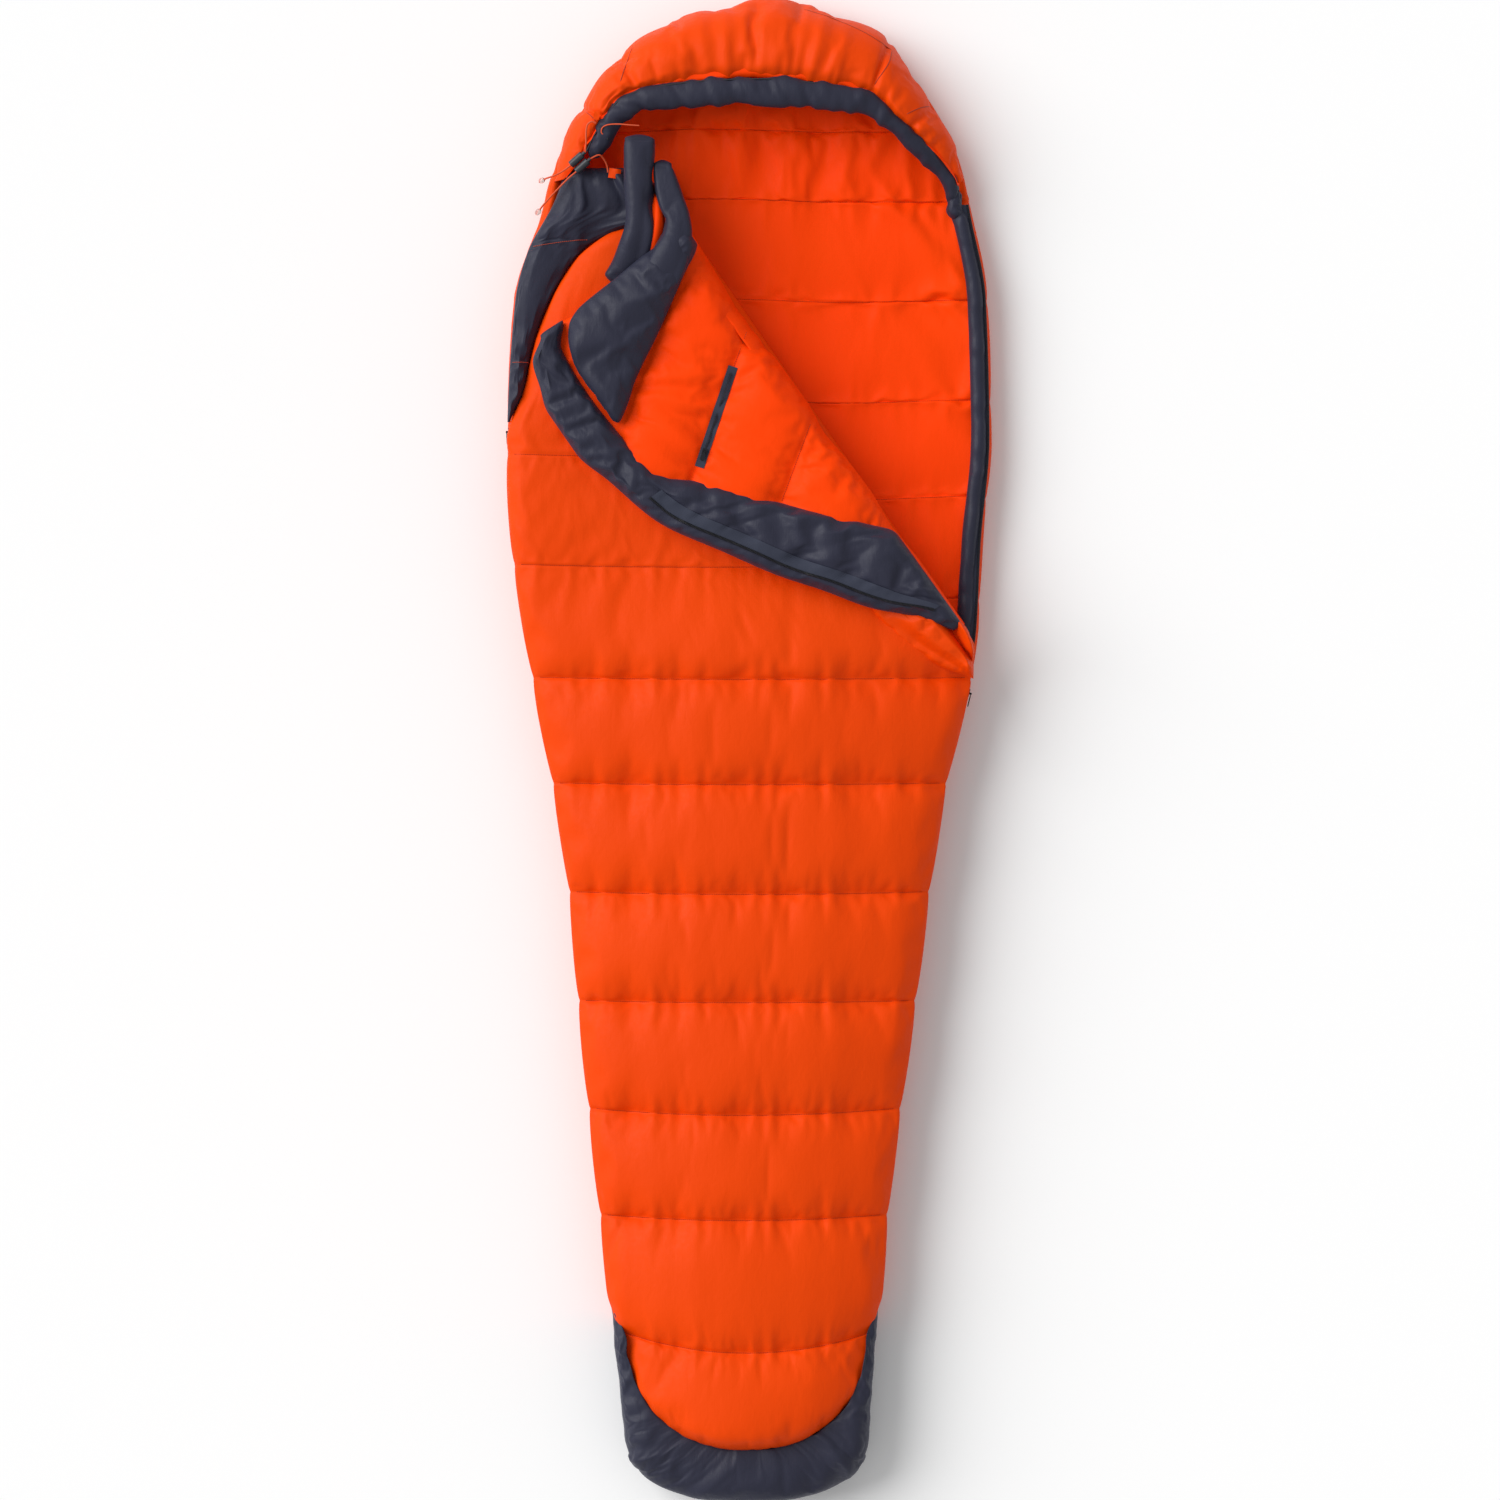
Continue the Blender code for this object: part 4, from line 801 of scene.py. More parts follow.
def makeFootBox():
    # runs round the feet from one side horn to the other; each cross-section is a fat D
    piece = footBox
    share = np.linspace(-1, 1, piece["stations"])
    bend = np.abs(share)
    arcShare = np.clip(bend / piece["roundShare"], 0, 1)
    horn = np.clip((bend - piece["roundShare"]) / (1 - piece["roundShare"]), 0, 1)
    sign = np.sign(share) + (share == 0)

    def runY(start, depth, hornLength):
        turned = start - depth * np.cos(arcShare * math.pi / 2)
        return np.where(bend < piece["roundShare"], turned, start + hornLength * horn)

    def onSide(edge, y):
        return np.where(sign < 0, edge(y, -1), edge(y, 1))

    yOuter, yInner = runY(*piece["outer"]), runY(*piece["inner"])
    innerEdge = onSide(footSide, yInner) * capWidth((footSeam["start"] - yInner) / footSeam["depth"], 2.1)
    innerEdge = sign * np.minimum(np.abs(innerEdge), np.abs(onSide(outlineX, yInner)) - 0.006)
    outer = np.stack([onSide(outlineX, yOuter), yOuter], -1)
    inner = np.stack([innerEdge, yInner], -1)
    away = outer - inner
    width = np.linalg.norm(away, axis=1)
    away /= width[:, None]
    inner = inner - away * piece["tuck"]  # tucks under the quilts at the seam
    width = width + piece["tuck"]
    path = runLengths(inner)
    angle = np.linspace(0, math.pi, piece["around"])  # top seam, round the outside, bottom seam
    s = np.sin(angle) ** 0.62
    rise = np.sign(np.cos(angle)) * np.abs(np.cos(angle)) ** 0.50
    gatherLine = rumple(path[:, None] + 0.02 * s[None, :], s[None, :] * 0.010, 0.0135, 61)
    broad = rumple(path[:, None], s[None, :] * 0.03, 0.040, 63)
    fade = (0.45 + 0.55 * np.abs(rise))[None, :]
    swell = (0.7 * gatherLine + 0.6 * broad) * piece["gather"] * fade
    reach = width[:, None] * s[None, :] * (0.99 + 0.012 * rumple(path[:, None], 0, 0.03, 65))
    half, middle = piece["half"], piece["middle"]
    taper = np.clip(width / 0.02, 0, 1)[:, None]
    z = middle + (half * rise[None, :] + swell * np.sign(rise)[None, :] * 0.8) * (0.3 + 0.7 * taper)
    z = np.maximum(z, 0.0008 + 0.5 * np.abs(swell) * (rise[None, :] < 0))
    spot = inner[:, None, :] + away[:, None, :] * (reach + swell * 0.5)[:, :, None]
    back = np.repeat((inner + away * 0.004)[:, None, :], piece["around"], 1)
    inside = raised(back, middle + (z - middle) * 0.96)
    obj = closedPad("footBox", raised(spot, z), inside, [navyCloth, navyCloth])
    sewn = bell(np.minimum(angle, math.pi - angle), 0.05)[None, :] + 0 * z
    sewn = np.maximum(sewn, (z < 0.006) * 0.8)
    sewn = np.maximum(sewn, 0.85 * (s[None, :] > 0.9) * (bend > 0.5)[:, None])
    sewn = np.maximum(sewn, ease(bend, 0.88, 0.98)[:, None])
    hold(obj, sewn, np.ones_like(sewn), 0.06, 0.006)
    enter(obj, "bag", ("foot_box",))


makeFootBox()
print("foot box made")

# hood

hoodCrown = {
    "profile": 30, "first": 0, "last": 12.75, "base": 0.024, "bulge": 0.010, "padding": 0.026,
    "seams": (3.0, 4.45, 9.0, 10.35), "gatherAt": 7.0, "gather": 0.016,  # places counted along hoodRim
}


def hoodPaths(first, last):
    # the crown's outer edge, the band's two edges and the rim's height between two places of hoodRim
    rows = np.array(hoodRim)
    steps = 12
    outer = smoothPath(rows[:, 0:2], steps)
    middle = smoothPath(rows[:, 2:4], steps)
    inner = smoothPath(rows[:, 4:6], steps)
    rim = smoothPath(rows[:, 6:7], steps)[:, 0]
    pick = np.arange(int(first * steps), int(last * steps) + 1)
    spot = pick / steps
    return spot, outer[pick], middle[pick], inner[pick], rim[pick]


def makeHood():
    piece = hoodCrown
    spot, outer, middle, _, rim = hoodPaths(piece["first"], piece["last"])
    path = runLengths(outer)
    across = middle - outer
    width = np.linalg.norm(across, axis=1)
    across /= width[:, None]
    turn = np.linspace(0, 1, piece["profile"])
    angle = turn * math.pi / 2
    base = piece["base"]
    rise = rim - base - 0.004
    seamDip = np.zeros(len(spot))
    for seam in piece["seams"]:
        seamDip += bell(spot - seam, 0.10) * 0.007
        seamDip -= bell(spot - seam, 0.55) * 0.002
    crest = 1 - np.abs(rumple(path[:, None], turn[None, :] * 0.02, 0.017, 71)) ** 0.8
    centreFade = bell(spot - piece["gatherAt"], 1.3)[:, None]
    lift = (crest - 0.5) * piece["gather"] * centreFade * (np.sin(angle) ** 1.5 * (1 - 0.3 * turn))[None, :]
    seamSide = np.exp(-(1 - turn) / 0.18)[None, :]
    lift = lift + 0.004 * rumple(path[:, None], turn[None, :] * 0.01, 0.012, 73) * seamSide
    lift = lift + 0.0030 * rumple(path[:, None], turn[None, :] * 0.08, 0.055, 75)
    lift = lift - seamDip[:, None] * np.sin(angle)[None, :]
    bulge = piece["bulge"] * np.sin(turn * math.pi)[None, :]  # fuller than a quarter round by the rim seam
    radial = (1 - np.cos(angle))[None, :] * width[:, None]
    z = base + rise[:, None] * np.sin(angle)[None, :] + (lift + bulge) * np.sin(angle)[None, :]
    z = z - 0.010 * ease(turn, 0.90, 1.0)[None, :]
    sideShift = -(lift + bulge) * np.cos(angle)[None, :]
    xy = outer[:, None, :] + across[:, None, :] * (radial + sideShift * 0.8)[:, :, None]
    xy[:, 0] = outer
    padding = piece["padding"] * np.clip(width / 0.05, 0.3, 1)
    inRadial = padding[:, None] + (width - padding)[:, None] * (1 - np.cos(angle))[None, :]
    zIn = base + 0.016 + (rise - padding * 0.7)[:, None] * np.sin(angle)[None, :]
    wave = 0.004 * rumple(path[:, None], turn[None, :] * 0.02, 0.020, 77)
    xyIn = outer[:, None, :] + across[:, None, :] * (inRadial + wave)[:, :, None]
    obj = closedPad("hoodCrown", raised(xy, z), raised(xyIn, zIn - 0.002), [shellCloth, linerCloth])
    sewn = bell(np.minimum(turn, 1 - turn), 0.03)[None, :] + 0 * z
    for seam in piece["seams"]:
        sewn = np.maximum(sewn, bell(spot[:, None] - seam, 0.05))
    hold(obj, sewn, np.ones_like(sewn), 0.06, 0.008)
    return enter(obj, "bag", ("hood_shell", "hood_fill", "hood_liner"))


hoodObject = makeHood()

faceBand = {
    "around": 26, "halfHeight": 0.0115, "leastHalf": 0.0112, "overlap": 1.06, "drop": 0.010,
    "tail": [(0.3072, 0.7800, 0.2847, 0.7790, 0.0610), (0.3085, 0.7640, 0.2860, 0.7630, 0.0605)],
}


def makeFaceBand():
    # drawcord channel: narrow padded strip, puckered square to its length
    piece = faceBand
    _, _, middle, inner, rim = hoodPaths(1, 13)
    keep = evenPath(np.vstack([np.column_stack([middle, inner, rim]), piece["tail"]]), 0.0040)
    centres = np.column_stack([(keep[:, 0:2] + keep[:, 2:4]) / 2, keep[:, 4] - piece["drop"]])
    half = (keep[:, 0:2] - keep[:, 2:4]) / 2
    wide = np.maximum(piece["overlap"], piece["leastHalf"] / np.linalg.norm(half, axis=1))
    sides = np.column_stack([half * wide[:, None], 0 * keep[:, 4]])
    ups = np.tile((0, 0, piece["halfHeight"]), (len(keep), 1))

    def swell(length, angle):
        ridge = rumple(length + 0.004 * np.cos(angle), np.cos(angle) * 0.012, 0.013, 81)
        return 0.20 * ridge + 0.10 * rumple(length, np.cos(angle) * 0.02, 0.032, 83) * np.abs(np.sin(angle))

    obj = ringTube("faceBand", centres, sides, ups, piece["around"], [navyCloth], swell)
    holdTube(obj, piece["around"], 0.09, 0.0035)
    enter(obj, "bag", ("hood_face_band",))


makeFaceBand()
print("hood and face band made")

# folded corner

flapQuilt = {
    "seamOffsets": (-0.328, -0.2108, -0.0798, 0.052, 0.18), "rows": 112, "columns": 58,
    "start": 0.006, "end": 0.692, "puff": 0.010, "pucker": 0.0036, "pull": 0.0034, "fan": 0.0030,
    "fanFrom": (0.05, 0.30), "hem": 0.006,  # along the fold and away from it
}
seamLean = {"start": 0.3395, "along": 0.8213, "across": 0.5702}
foldHeight = {"middle": 0.1055, "half": 0.0335, "reach": 0.042}
rollOut = [  # along the fold, how far the fold stops short of its line
    (-0.020, 0.000), (0.050, 0.004), (0.104, 0.008), (0.146, 0.013), (0.170, 0.023), (0.179, 0.026),
    (0.200, 0.011), (0.225, 0.005), (0.300, 0.004), (0.355, 0.009), (0.400, 0.004), (0.460, 0.002),
    (0.515, 0.006), (0.580, 0.001), (0.700, 0.000),
]


def seamShare(along, across):
    # the corner's seams run square to the bag once it is unfolded
    return -seamLean["start"] + seamLean["along"] * along - seamLean["across"] * across


def seamPlace(offset, across):
    # how far along the fold a seam is, by its distance from the fold
    return (offset + seamLean["start"] + seamLean["across"] * across) / seamLean["along"]


def rollArc(along, across):
    # height of the rounded fold over a place near the fold line
    out, centre = smoothTable(rollOut, along), foldHeight["reach"]
    t = np.clip((centre - across) / (centre - out), 0, 1)
    rounded = foldHeight["middle"] + foldHeight["half"] * np.sqrt(1 - t**2)
    return np.where(across >= centre, heights["flapTop"], rounded)


def makeFlap():
    piece = flapQuilt
    stations = np.linspace(piece["start"], piece["end"], piece["rows"])
    a, u = padGrid(stations, edgeCrowded(piece["columns"], 0.08, 6))
    near = smoothTable(rollOut, a)
    far = np.maximum(smoothTable(flapEdge, a) - 0.004, near + 0.006)
    c = near + (far - near) * u
    plan = foldPlace(a, c)
    seam = seamShare(a, c)
    puff, close, _ = bafflePuff(seam, piece["seamOffsets"])
    outer = roundEdge(far - c, 0.020) * roundEdge(a - piece["start"], 0.016)
    outer = outer * roundEdge(piece["end"] - a, 0.02)
    lift = piece["puff"] * (puff - 0.6)
    # creases run along the corner, square to its seams
    line = -seamLean["along"] * c - seamLean["across"] * a
    lift += piece["pucker"] * puckers(line, close, 91, 0.015)
    pull = rumple(line + seam * 0.3, seam * 0.15, 0.022, 93)
    lift += piece["pull"] * pull * ease(a, 0.10, 0.25) + 0.0016 * rumple(line, seam, 0.05, 95)
    overA, overC = a - piece["fanFrom"][0], c - piece["fanFrom"][1]
    fan = rumple(np.arctan2(overC, overA) * 0.30, np.hypot(overC, overA) * 0.05, 0.028, 97)
    lift += piece["fan"] * fan * ease(c, 0.05, 0.12)
    middle = 0.1125 + 0.012 * ease(c - near, 0.0, 0.03)
    z = middle + np.maximum(rollArc(a, c) - middle + lift * ease(c, 0.004, 0.05), 0.0) * outer
    upper = raised(plan, z)
    under = roundEdge(c - near, 0.012) * outer
    dip = 0.0060 * (1 - puff) ** 1.5 + 0.0009 * (rumple(line, seam * 0.4, 0.03, 99) + 1)
    z = middle - np.maximum(middle - heights["flapUnder"] - dip, 0.0006) * under
    hem = far - c < piece["hem"]
    obj = closedPad("flapQuilt", upper, raised(plan, z), [linerCloth, shellCloth], (0, hem))
    sewn = np.maximum(bell(close, 0.0030), bell(np.minimum(far - c, c - near), 0.004))
    hold(obj, sewn, np.ones_like(sewn), 0.07, 0.008)
    return enter(obj, "flap", ("flap_shell", "flap_fill", "flap_liner"))


flapObject = makeFlap()

foldRoll = {
    "start": -0.012, "end": 0.700, "stations": 200, "steps": 28, "turn": (0.62, 1.38),  # in half turns
    "thickness": 0.0025, "halfHeight": 0.0325, "mostOut": 0.005,  # more would stand up when it unfolds
    "bend": (0.092, 0.125),  # height where it leaves the bag, and where it is all on the corner
}


def makeFoldRoll():
    # the lining's bend at the fold: a thin crescent from the folded corner round to the top quilt's underside
    piece = foldRoll
    stations = np.linspace(piece["start"], piece["end"], piece["stations"])
    out = np.minimum(smoothTable(rollOut, stations) * 0.6, piece["mostOut"])
    reach = smoothTable(flapEdge, stations)
    centre = np.minimum(foldHeight["reach"], np.maximum(reach * 0.75, 0.014))
    taper = 0.55 + 0.45 * ease(stations, 0.700, 0.62)
    puff = bafflePuff(seamShare(stations, 0.01), flapQuilt["seamOffsets"])[0]
    angles = np.linspace(piece["turn"][0] * math.pi, piece["turn"][1] * math.pi, piece["steps"])
    rings = []
    for shrink, turns in ((0.0, angles), (piece["thickness"], angles[::-1])):
        for angle in turns:
            ripple = 0.0016 * rumple(stations, angle * 0.02, 0.016, 101)
            ripple += 0.0014 * rumple(stations, angle * 0.02, 0.05, 102)
            radius = centre - out - 0.0030 - shrink + ripple * (shrink == 0) - 0.002 * (1 - puff)
            z = foldHeight["middle"] + (piece["halfHeight"] * taper - shrink) * math.sin(angle)
            rings.append(raised(foldPlace(stations, centre + radius * math.cos(angle)), z))
    loop = np.stack(rings, 1)
    count, around = loop.shape[:2]
    inside = np.repeat([np.arange(around) >= len(angles)], count - 1, 0).astype(int).reshape(-1).tolist()
    faces = ringFaces(count, around)
    obj = addMesh("foldRoll", loop.reshape(-1, 3), faces, [linerCloth, shellCloth], inside + [0, 0])
    enter(obj)
    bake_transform(obj)


makeFoldRoll()

draftTube = {
    "start": 0.004, "end": 0.690, "rows": 130, "columns": 16, "middle": 0.134, "under": 0.1225,
    "crease": 0.0050, "zipPuff": 0.0035, "zipMiddle": 0.027,  # the zip tape lies this far from the edge
}


def makeDraftTube():
    piece = draftTube
    stations = np.linspace(piece["start"], piece["end"], piece["rows"])
    a, u = padGrid(stations, edgeCrowded(piece["columns"], 0.16, 4))
    near = smoothTable(tubeEdge, a)
    width = np.maximum(smoothTable(flapEdge, a) + 0.002, near + 0.010) - near
    c = near + width * u
    plan = foldPlace(a, c)
    inner, outer = u * width, (1 - u) * width
    full = roundEdge(inner, 0.020) * roundEdge(outer, 0.018)
    full = full * roundEdge(a - piece["start"], 0.012) * roundEdge(piece["end"] - a, 0.03)
    zipSide = ease(outer, 0.040, 0.060)
    crease = rumple(a + c * 0.35, c * 0.22, 0.017, 111)
    lift = piece["crease"] * crease * (0.25 + 0.75 * zipSide) * ease(a, 0.62, 0.40)
    lift += 0.0022 * rumple(a, c * 0.4, 0.045, 113) + piece["zipPuff"] * zipSide
    lift -= 0.0035 * bell(outer - 0.0385, 0.003) * ease(a, 0.27, 0.30)  # tape's stitched edge
    middle = piece["middle"]
    upper = raised(plan, middle + (heights["tubeTop"] - middle + lift) * full)
    rim = roundEdge(np.minimum(inner, outer), 0.014)
    lower = raised(plan, middle - (middle - piece["under"]) * rim * full)
    obj = closedPad("draftTube", upper, lower, [navyCloth, navyCloth])
    sewn = bell(np.minimum(inner, outer), 0.004)
    onZip = bell(outer - piece["zipMiddle"], 0.012, 4) * ease(a, 0.24, 0.30)
    hold(obj, np.maximum(sewn, onZip), np.ones_like(sewn), 0.08, 0.007)
    return enter(obj, "flap", ("flap_draft_tube",))


tubeObject = makeDraftTube()

draftCollar = {"start": 0.004, "end": 0.250, "rows": 48, "columns": 22, "middle": 0.147, "under": 0.136}
collarShape = [  # distance from the fold, start along it, end along it
    (0.004, 0.000, 0.026), (0.012, -0.003, 0.034), (0.040, -0.004, 0.049), (0.073, -0.004, 0.069),
    (0.128, 0.000, 0.1025), (0.189, 0.004, 0.137), (0.215, 0.012, 0.157), (0.232, 0.030, 0.168),
    (0.244, 0.055, 0.174), (0.250, 0.090, 0.160),
]


def makeDraftCollar():
    piece = draftCollar
    stations = np.linspace(piece["start"], piece["end"], piece["rows"])
    c, u = padGrid(stations, edgeCrowded(piece["columns"], 0.12, 4))
    start, end = smoothTable(collarShape, c, 1), smoothTable(collarShape, c, 2)
    a = start + (end - start) * u
    plan = foldPlace(a, c)
    side = np.minimum(u, 1 - u) * (end - start)
    full = roundEdge(side, 0.026) * roundEdge(c - piece["start"], 0.018) * roundEdge(piece["end"] - c, 0.024)
    lift = 0.006 * np.sin(u * math.pi) + 0.0035 * rumple(a, c * 0.35, 0.030, 121)
    lift += 0.0020 * rumple(a * 0.5, c, 0.018, 123) * (1 - u)
    lift += 0.0024 * rumple(c, a * 0.2, 0.011, 125) * np.exp(-side / 0.016)
    middle = piece["middle"]
    upper = raised(plan, middle + (heights["collarTop"] - middle + lift) * full)
    lower = raised(plan, middle - (middle - piece["under"]) * full)
    obj = closedPad("draftCollar", upper, lower, [navyCloth, navyCloth])
    hold(obj, bell(side, 0.004), np.ones_like(side), 0.06, 0.007)
    enter(obj, "flap", ("draft_collar",))


makeDraftCollar()

collarRolls = {  # x, y, half width, lowest z, highest z
    "roll": [(-0.1558, 0.8800, 0.021, 0.108, 0.146), (-0.1563, 0.8600, 0.024, 0.107, 0.154),
             (-0.1570, 0.8100, 0.023, 0.106, 0.158), (-0.1585, 0.7650, 0.022, 0.106, 0.158),
             (-0.1620, 0.7300, 0.023, 0.106, 0.156), (-0.1740, 0.6950, 0.025, 0.108, 0.144),
             (-0.1890, 0.6640, 0.023, 0.108, 0.132)],
    "neck": [(-0.1235, 0.8440, 0.013, 0.110, 0.140), (-0.1228, 0.8260, 0.0155, 0.109, 0.148),
             (-0.1150, 0.7850, 0.019, 0.112, 0.158), (-0.1050, 0.7600, 0.0185, 0.118, 0.164),
             (-0.1035, 0.7320, 0.022, 0.128, 0.168), (-0.1110, 0.7030, 0.028, 0.136, 0.170),
             (-0.1270, 0.6680, 0.027, 0.138, 0.166)],
    "pleat": [(-0.1345, 0.7950, 0.005, 0.112, 0.138), (-0.1290, 0.7750, 0.009, 0.112, 0.150),
              (-0.1290, 0.7450, 0.011, 0.112, 0.152), (-0.1380, 0.7150, 0.011, 0.114, 0.148),
              (-0.1520, 0.6850, 0.007, 0.116, 0.140)],
    "around": 26, "wrinkle": 0.13,
}


def softRoll(name, places, material, seed):
    rows = evenPath(smoothPath(places, 12), 0.003)
    side = alongFrames(np.column_stack([rows[:, 0:2], 0 * rows[:, 0]]))[1]
    centres = np.column_stack([rows[:, 0:2], (rows[:, 3] + rows[:, 4]) / 2])
    ups = np.outer(rows[:, 4] - rows[:, 3], (0, 0, 0.5))

    def swell(length, angle):
        # long folds down the roll with a few slanting across it
        across = np.cos(angle)
        folds = 1.2 * rumple(length * 0.12 + 0.2, across * 0.030, 0.014, seed)
        return collarRolls["wrinkle"] * (folds + 0.7 * rumple(length * 0.6 + 0.02 * across, across * 0.02,
                                                              0.024, seed + 1))

    around = collarRolls["around"]
    return ringTube(name, centres, side * rows[:, 2:3], ups, around, [material], swell, 3, 0.72)


def makeCollarEnds():
    roll = softRoll("collarRoll", collarRolls["roll"], navyCloth, 131)
    enter(roll, "bag", ("collar_roll",))
    neck = softRoll("collarNeck", collarRolls["neck"], navyCloth, 135)
    enter(neck)
    for obj in (roll, neck):
        holdTube(obj, collarRolls["around"], 0.03, 0.003)
    pleat = softRoll("collarPleat", collarRolls["pleat"], linerCloth, 139)
    enter(pleat, "bag")
    return neck


neckObject = makeCollarEnds()

zipEndFold = {
    "start": 0.160, "end": 0.323, "rows": 60, "columns": 30, "middle": 0.104, "fold": 0.015,
    "foldFrom": (0.340, 0.095),  # x, y that the folds spread from
    "shape": [  # x, lower y, upper y
        (0.160, 0.2130, 0.2175), (0.2132, 0.1600, 0.2085), (0.2506, 0.1328, 0.2010), (0.2879, 0.1141, 0.1950),
        (0.3123, 0.1070, 0.1760), (0.3230, 0.1020, 0.1450),
    ],
}


def makeZipEndFold():
    # slack shell cloth bunched up where the zip is still closed
    piece = zipEndFold
    stations = np.linspace(piece["start"], piece["end"], piece["rows"])
    x, u = padGrid(stations, edgeCrowded(piece["columns"], 0.12, 5))
    low, high = smoothTable(piece["shape"], x, 1), smoothTable(piece["shape"], x, 2)
    y = low + (high - low) * u
    side = np.minimum(u, 1 - u) * (high - low)
    full = roundEdge(side, 0.014) * roundEdge(x - piece["start"], 0.03) * roundEdge(piece["end"] - x, 0.012)
    overX, overY = piece["foldFrom"][0] - x, y - piece["foldFrom"][1]
    fold = rumple(np.arctan2(overY, overX) * 0.30, np.hypot(overY, overX) * 0.12, 0.045, 141)
    lift = piece["fold"] * fold * ease(x, 0.19, 0.25) + 0.0015 * rumple(x, y, 0.018, 143)
    middle = piece["middle"]
    upper = np.stack([x, y, middle + (0.018 + 0.012 * ease(u, 0.2, 1.0) + lift) * full], -1)
    lower = np.stack([x, y, middle - 0.012 * full], -1)
    obj = closedPad("zipEndFold", upper, lower, [shellCloth, shellCloth])
    hold(obj, bell(side, 0.003), np.ones_like(side), 0.03, 0.004)
    enter(obj, "bag")


makeZipEndFold()
print("folded corner made")

zipGuard = {"head": 0.812, "foot": 0.112, "stations": 175, "around": 20, "width": 0.0225,
            "inset": 0.0095, "height": 0.0470, "halfHeight": 0.0120}


def makeGuard():
    # narrow padded strip inside the open zip, puckered square to its length
    piece = zipGuard
    y = np.linspace(piece["head"], piece["foot"], piece["stations"])
    x = outlineX(y, 1) - piece["inset"] - piece["width"] / 2
    centres = np.stack([x, y, np.full(len(y), piece["height"])], -1)
    sides = np.tile((piece["width"] / 2, 0, 0), (len(y), 1))
    ups = np.tile((0, 0, piece["halfHeight"]), (len(y), 1))

    def swell(length, angle):
        ridge = rumple(length, np.cos(angle) * 0.006, 0.016, 151)
        return 0.20 * ridge * np.abs(np.sin(angle)) + 0.05 * rumple(length, angle * 0.01, 0.05, 152)

    obj = ringTube("zipGuard", centres, sides, ups, piece["around"], [navyCloth], swell)
    holdTube(obj, piece["around"], 0.09, 0.0035)
    enter(obj, "bag", ("zip_guard",))


makeGuard()
settleFabric()
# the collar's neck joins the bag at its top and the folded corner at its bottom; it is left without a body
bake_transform(neckObject)
print("fabric settled")

# zips

toothUnit = [(-0.0005, -0.0021, -0.0009), (0.0005, -0.0021, -0.0009), (0.0005, 0.0021, -0.0009),
             (-0.0005, 0.0021, -0.0009), (-0.0004, -0.0015, 0.0013), (0.0004, -0.0015, 0.0013),
             (0.0004, 0.0015, 0.0013), (-0.0004, 0.0015, 0.0013)]
boxFaces = [(0, 3, 2, 1), (4, 5, 6, 7), (0, 1, 5, 4), (1, 2, 6, 5), (2, 3, 7, 6), (3, 0, 4, 7)]
stitchUnit = [(-0.0012, 0, -0.0003), (-0.0008, -0.0004, 0), (-0.0008, 0.0004, 0), (-0.0008, 0, 0.0005),
              (0.0008, -0.0004, 0), (0.0008, 0.0004, 0), (0.0008, 0, 0.0005), (0.0012, 0, -0.0003)]
stitchFaces = [(0, 3, 1), (0, 2, 3), (0, 1, 2), (1, 3, 6, 4), (3, 2, 5, 6), (2, 1, 4, 5), (7, 4, 6),
               (7, 6, 5), (7, 5, 4)]


toothPitch = 0.0018


def teeth(name, path, node, body, up=(0, 0, 1), size=1.0):
    unit = np.array(toothUnit) * size
    obj = repeatAlong(name, path, toothPitch * size, unit, boxFaces, [coilNylon], up)
    enter(obj, body, (node,))


def stitches(name, path, material, body, pitch=0.0032, size=1.1):
    obj = repeatAlong(name, path, pitch, np.array(stitchUnit) * size, stitchFaces, [material])
    enter(obj, body)


def zipTape(name, node, body, left, right, thickness):
    enter(flatRibbon(name, left, right, thickness, [tapeCloth]), body, (node,))


def zipWall(name, node, x, y, low, high, thickness):
    # upright tape between the quilts, from one height to another
    bottom, top = (np.stack([x, y, np.full(len(y), height)], -1) for height in (low, high))
    inwards = np.array([thickness, 0, 0])
    loop = np.stack([bottom, top, top + inwards, bottom + inwards], 1)
    wall = addMesh(name, loop.reshape(-1, 3), ringFaces(len(y), 4), [tapeCloth], smooth=False)
    enter(wall, "bag", (node,))


openZip = {"head": 0.785, "foot": 0.110, "height": 0.0475, "inset": (0.0115, 0.0020), "thickness": 0.0012}
closedZip = {"head": 0.105, "foot": -0.804, "teethEnd": -0.780, "inset": 0.0030, "low": 0.034, "high": 0.080,
             "thickness": -0.0015}  # the tape runs on into the foot box
leftZip = {"head": 0.470, "foot": 0.300, "inset": 0.0025, "behind": 0.0030, "low": 0.036, "high": 0.078,
           "thickness": 0.0012}
flapZip = {"start": 0.286, "end": 0.648, "near": 0.0400, "far": 0.0205, "coil": 0.0188, "thickness": 0.0012,
           "height": 0.158}  # insets from the corner's edge
pocketZip = {"head": (-0.0223, 0.5464), "foot": (-0.0696, 0.4057), "half": 0.0068, "thickness": 0.0014,
             "teethSize": 0.72, "teethBetween": (0.1405, 0.1445)}


def makeOpenZip():
    piece = openZip
    y = np.linspace(piece["head"], piece["foot"], 200)
    edge, height = outlineX(y, 1), np.full(200, piece["height"])
    left = np.stack([edge - piece["inset"][0], y, height + 0.0030], -1)
    right = np.stack([edge - piece["inset"][1], y, height], -1)
    zipTape("backZipTape", "back_zip_tape", "bag", left, right, piece["thickness"])
    teeth("backZipTeeth", np.stack([edge - 0.0035, y, height + 0.0018], -1), "back_zip_teeth", "bag")


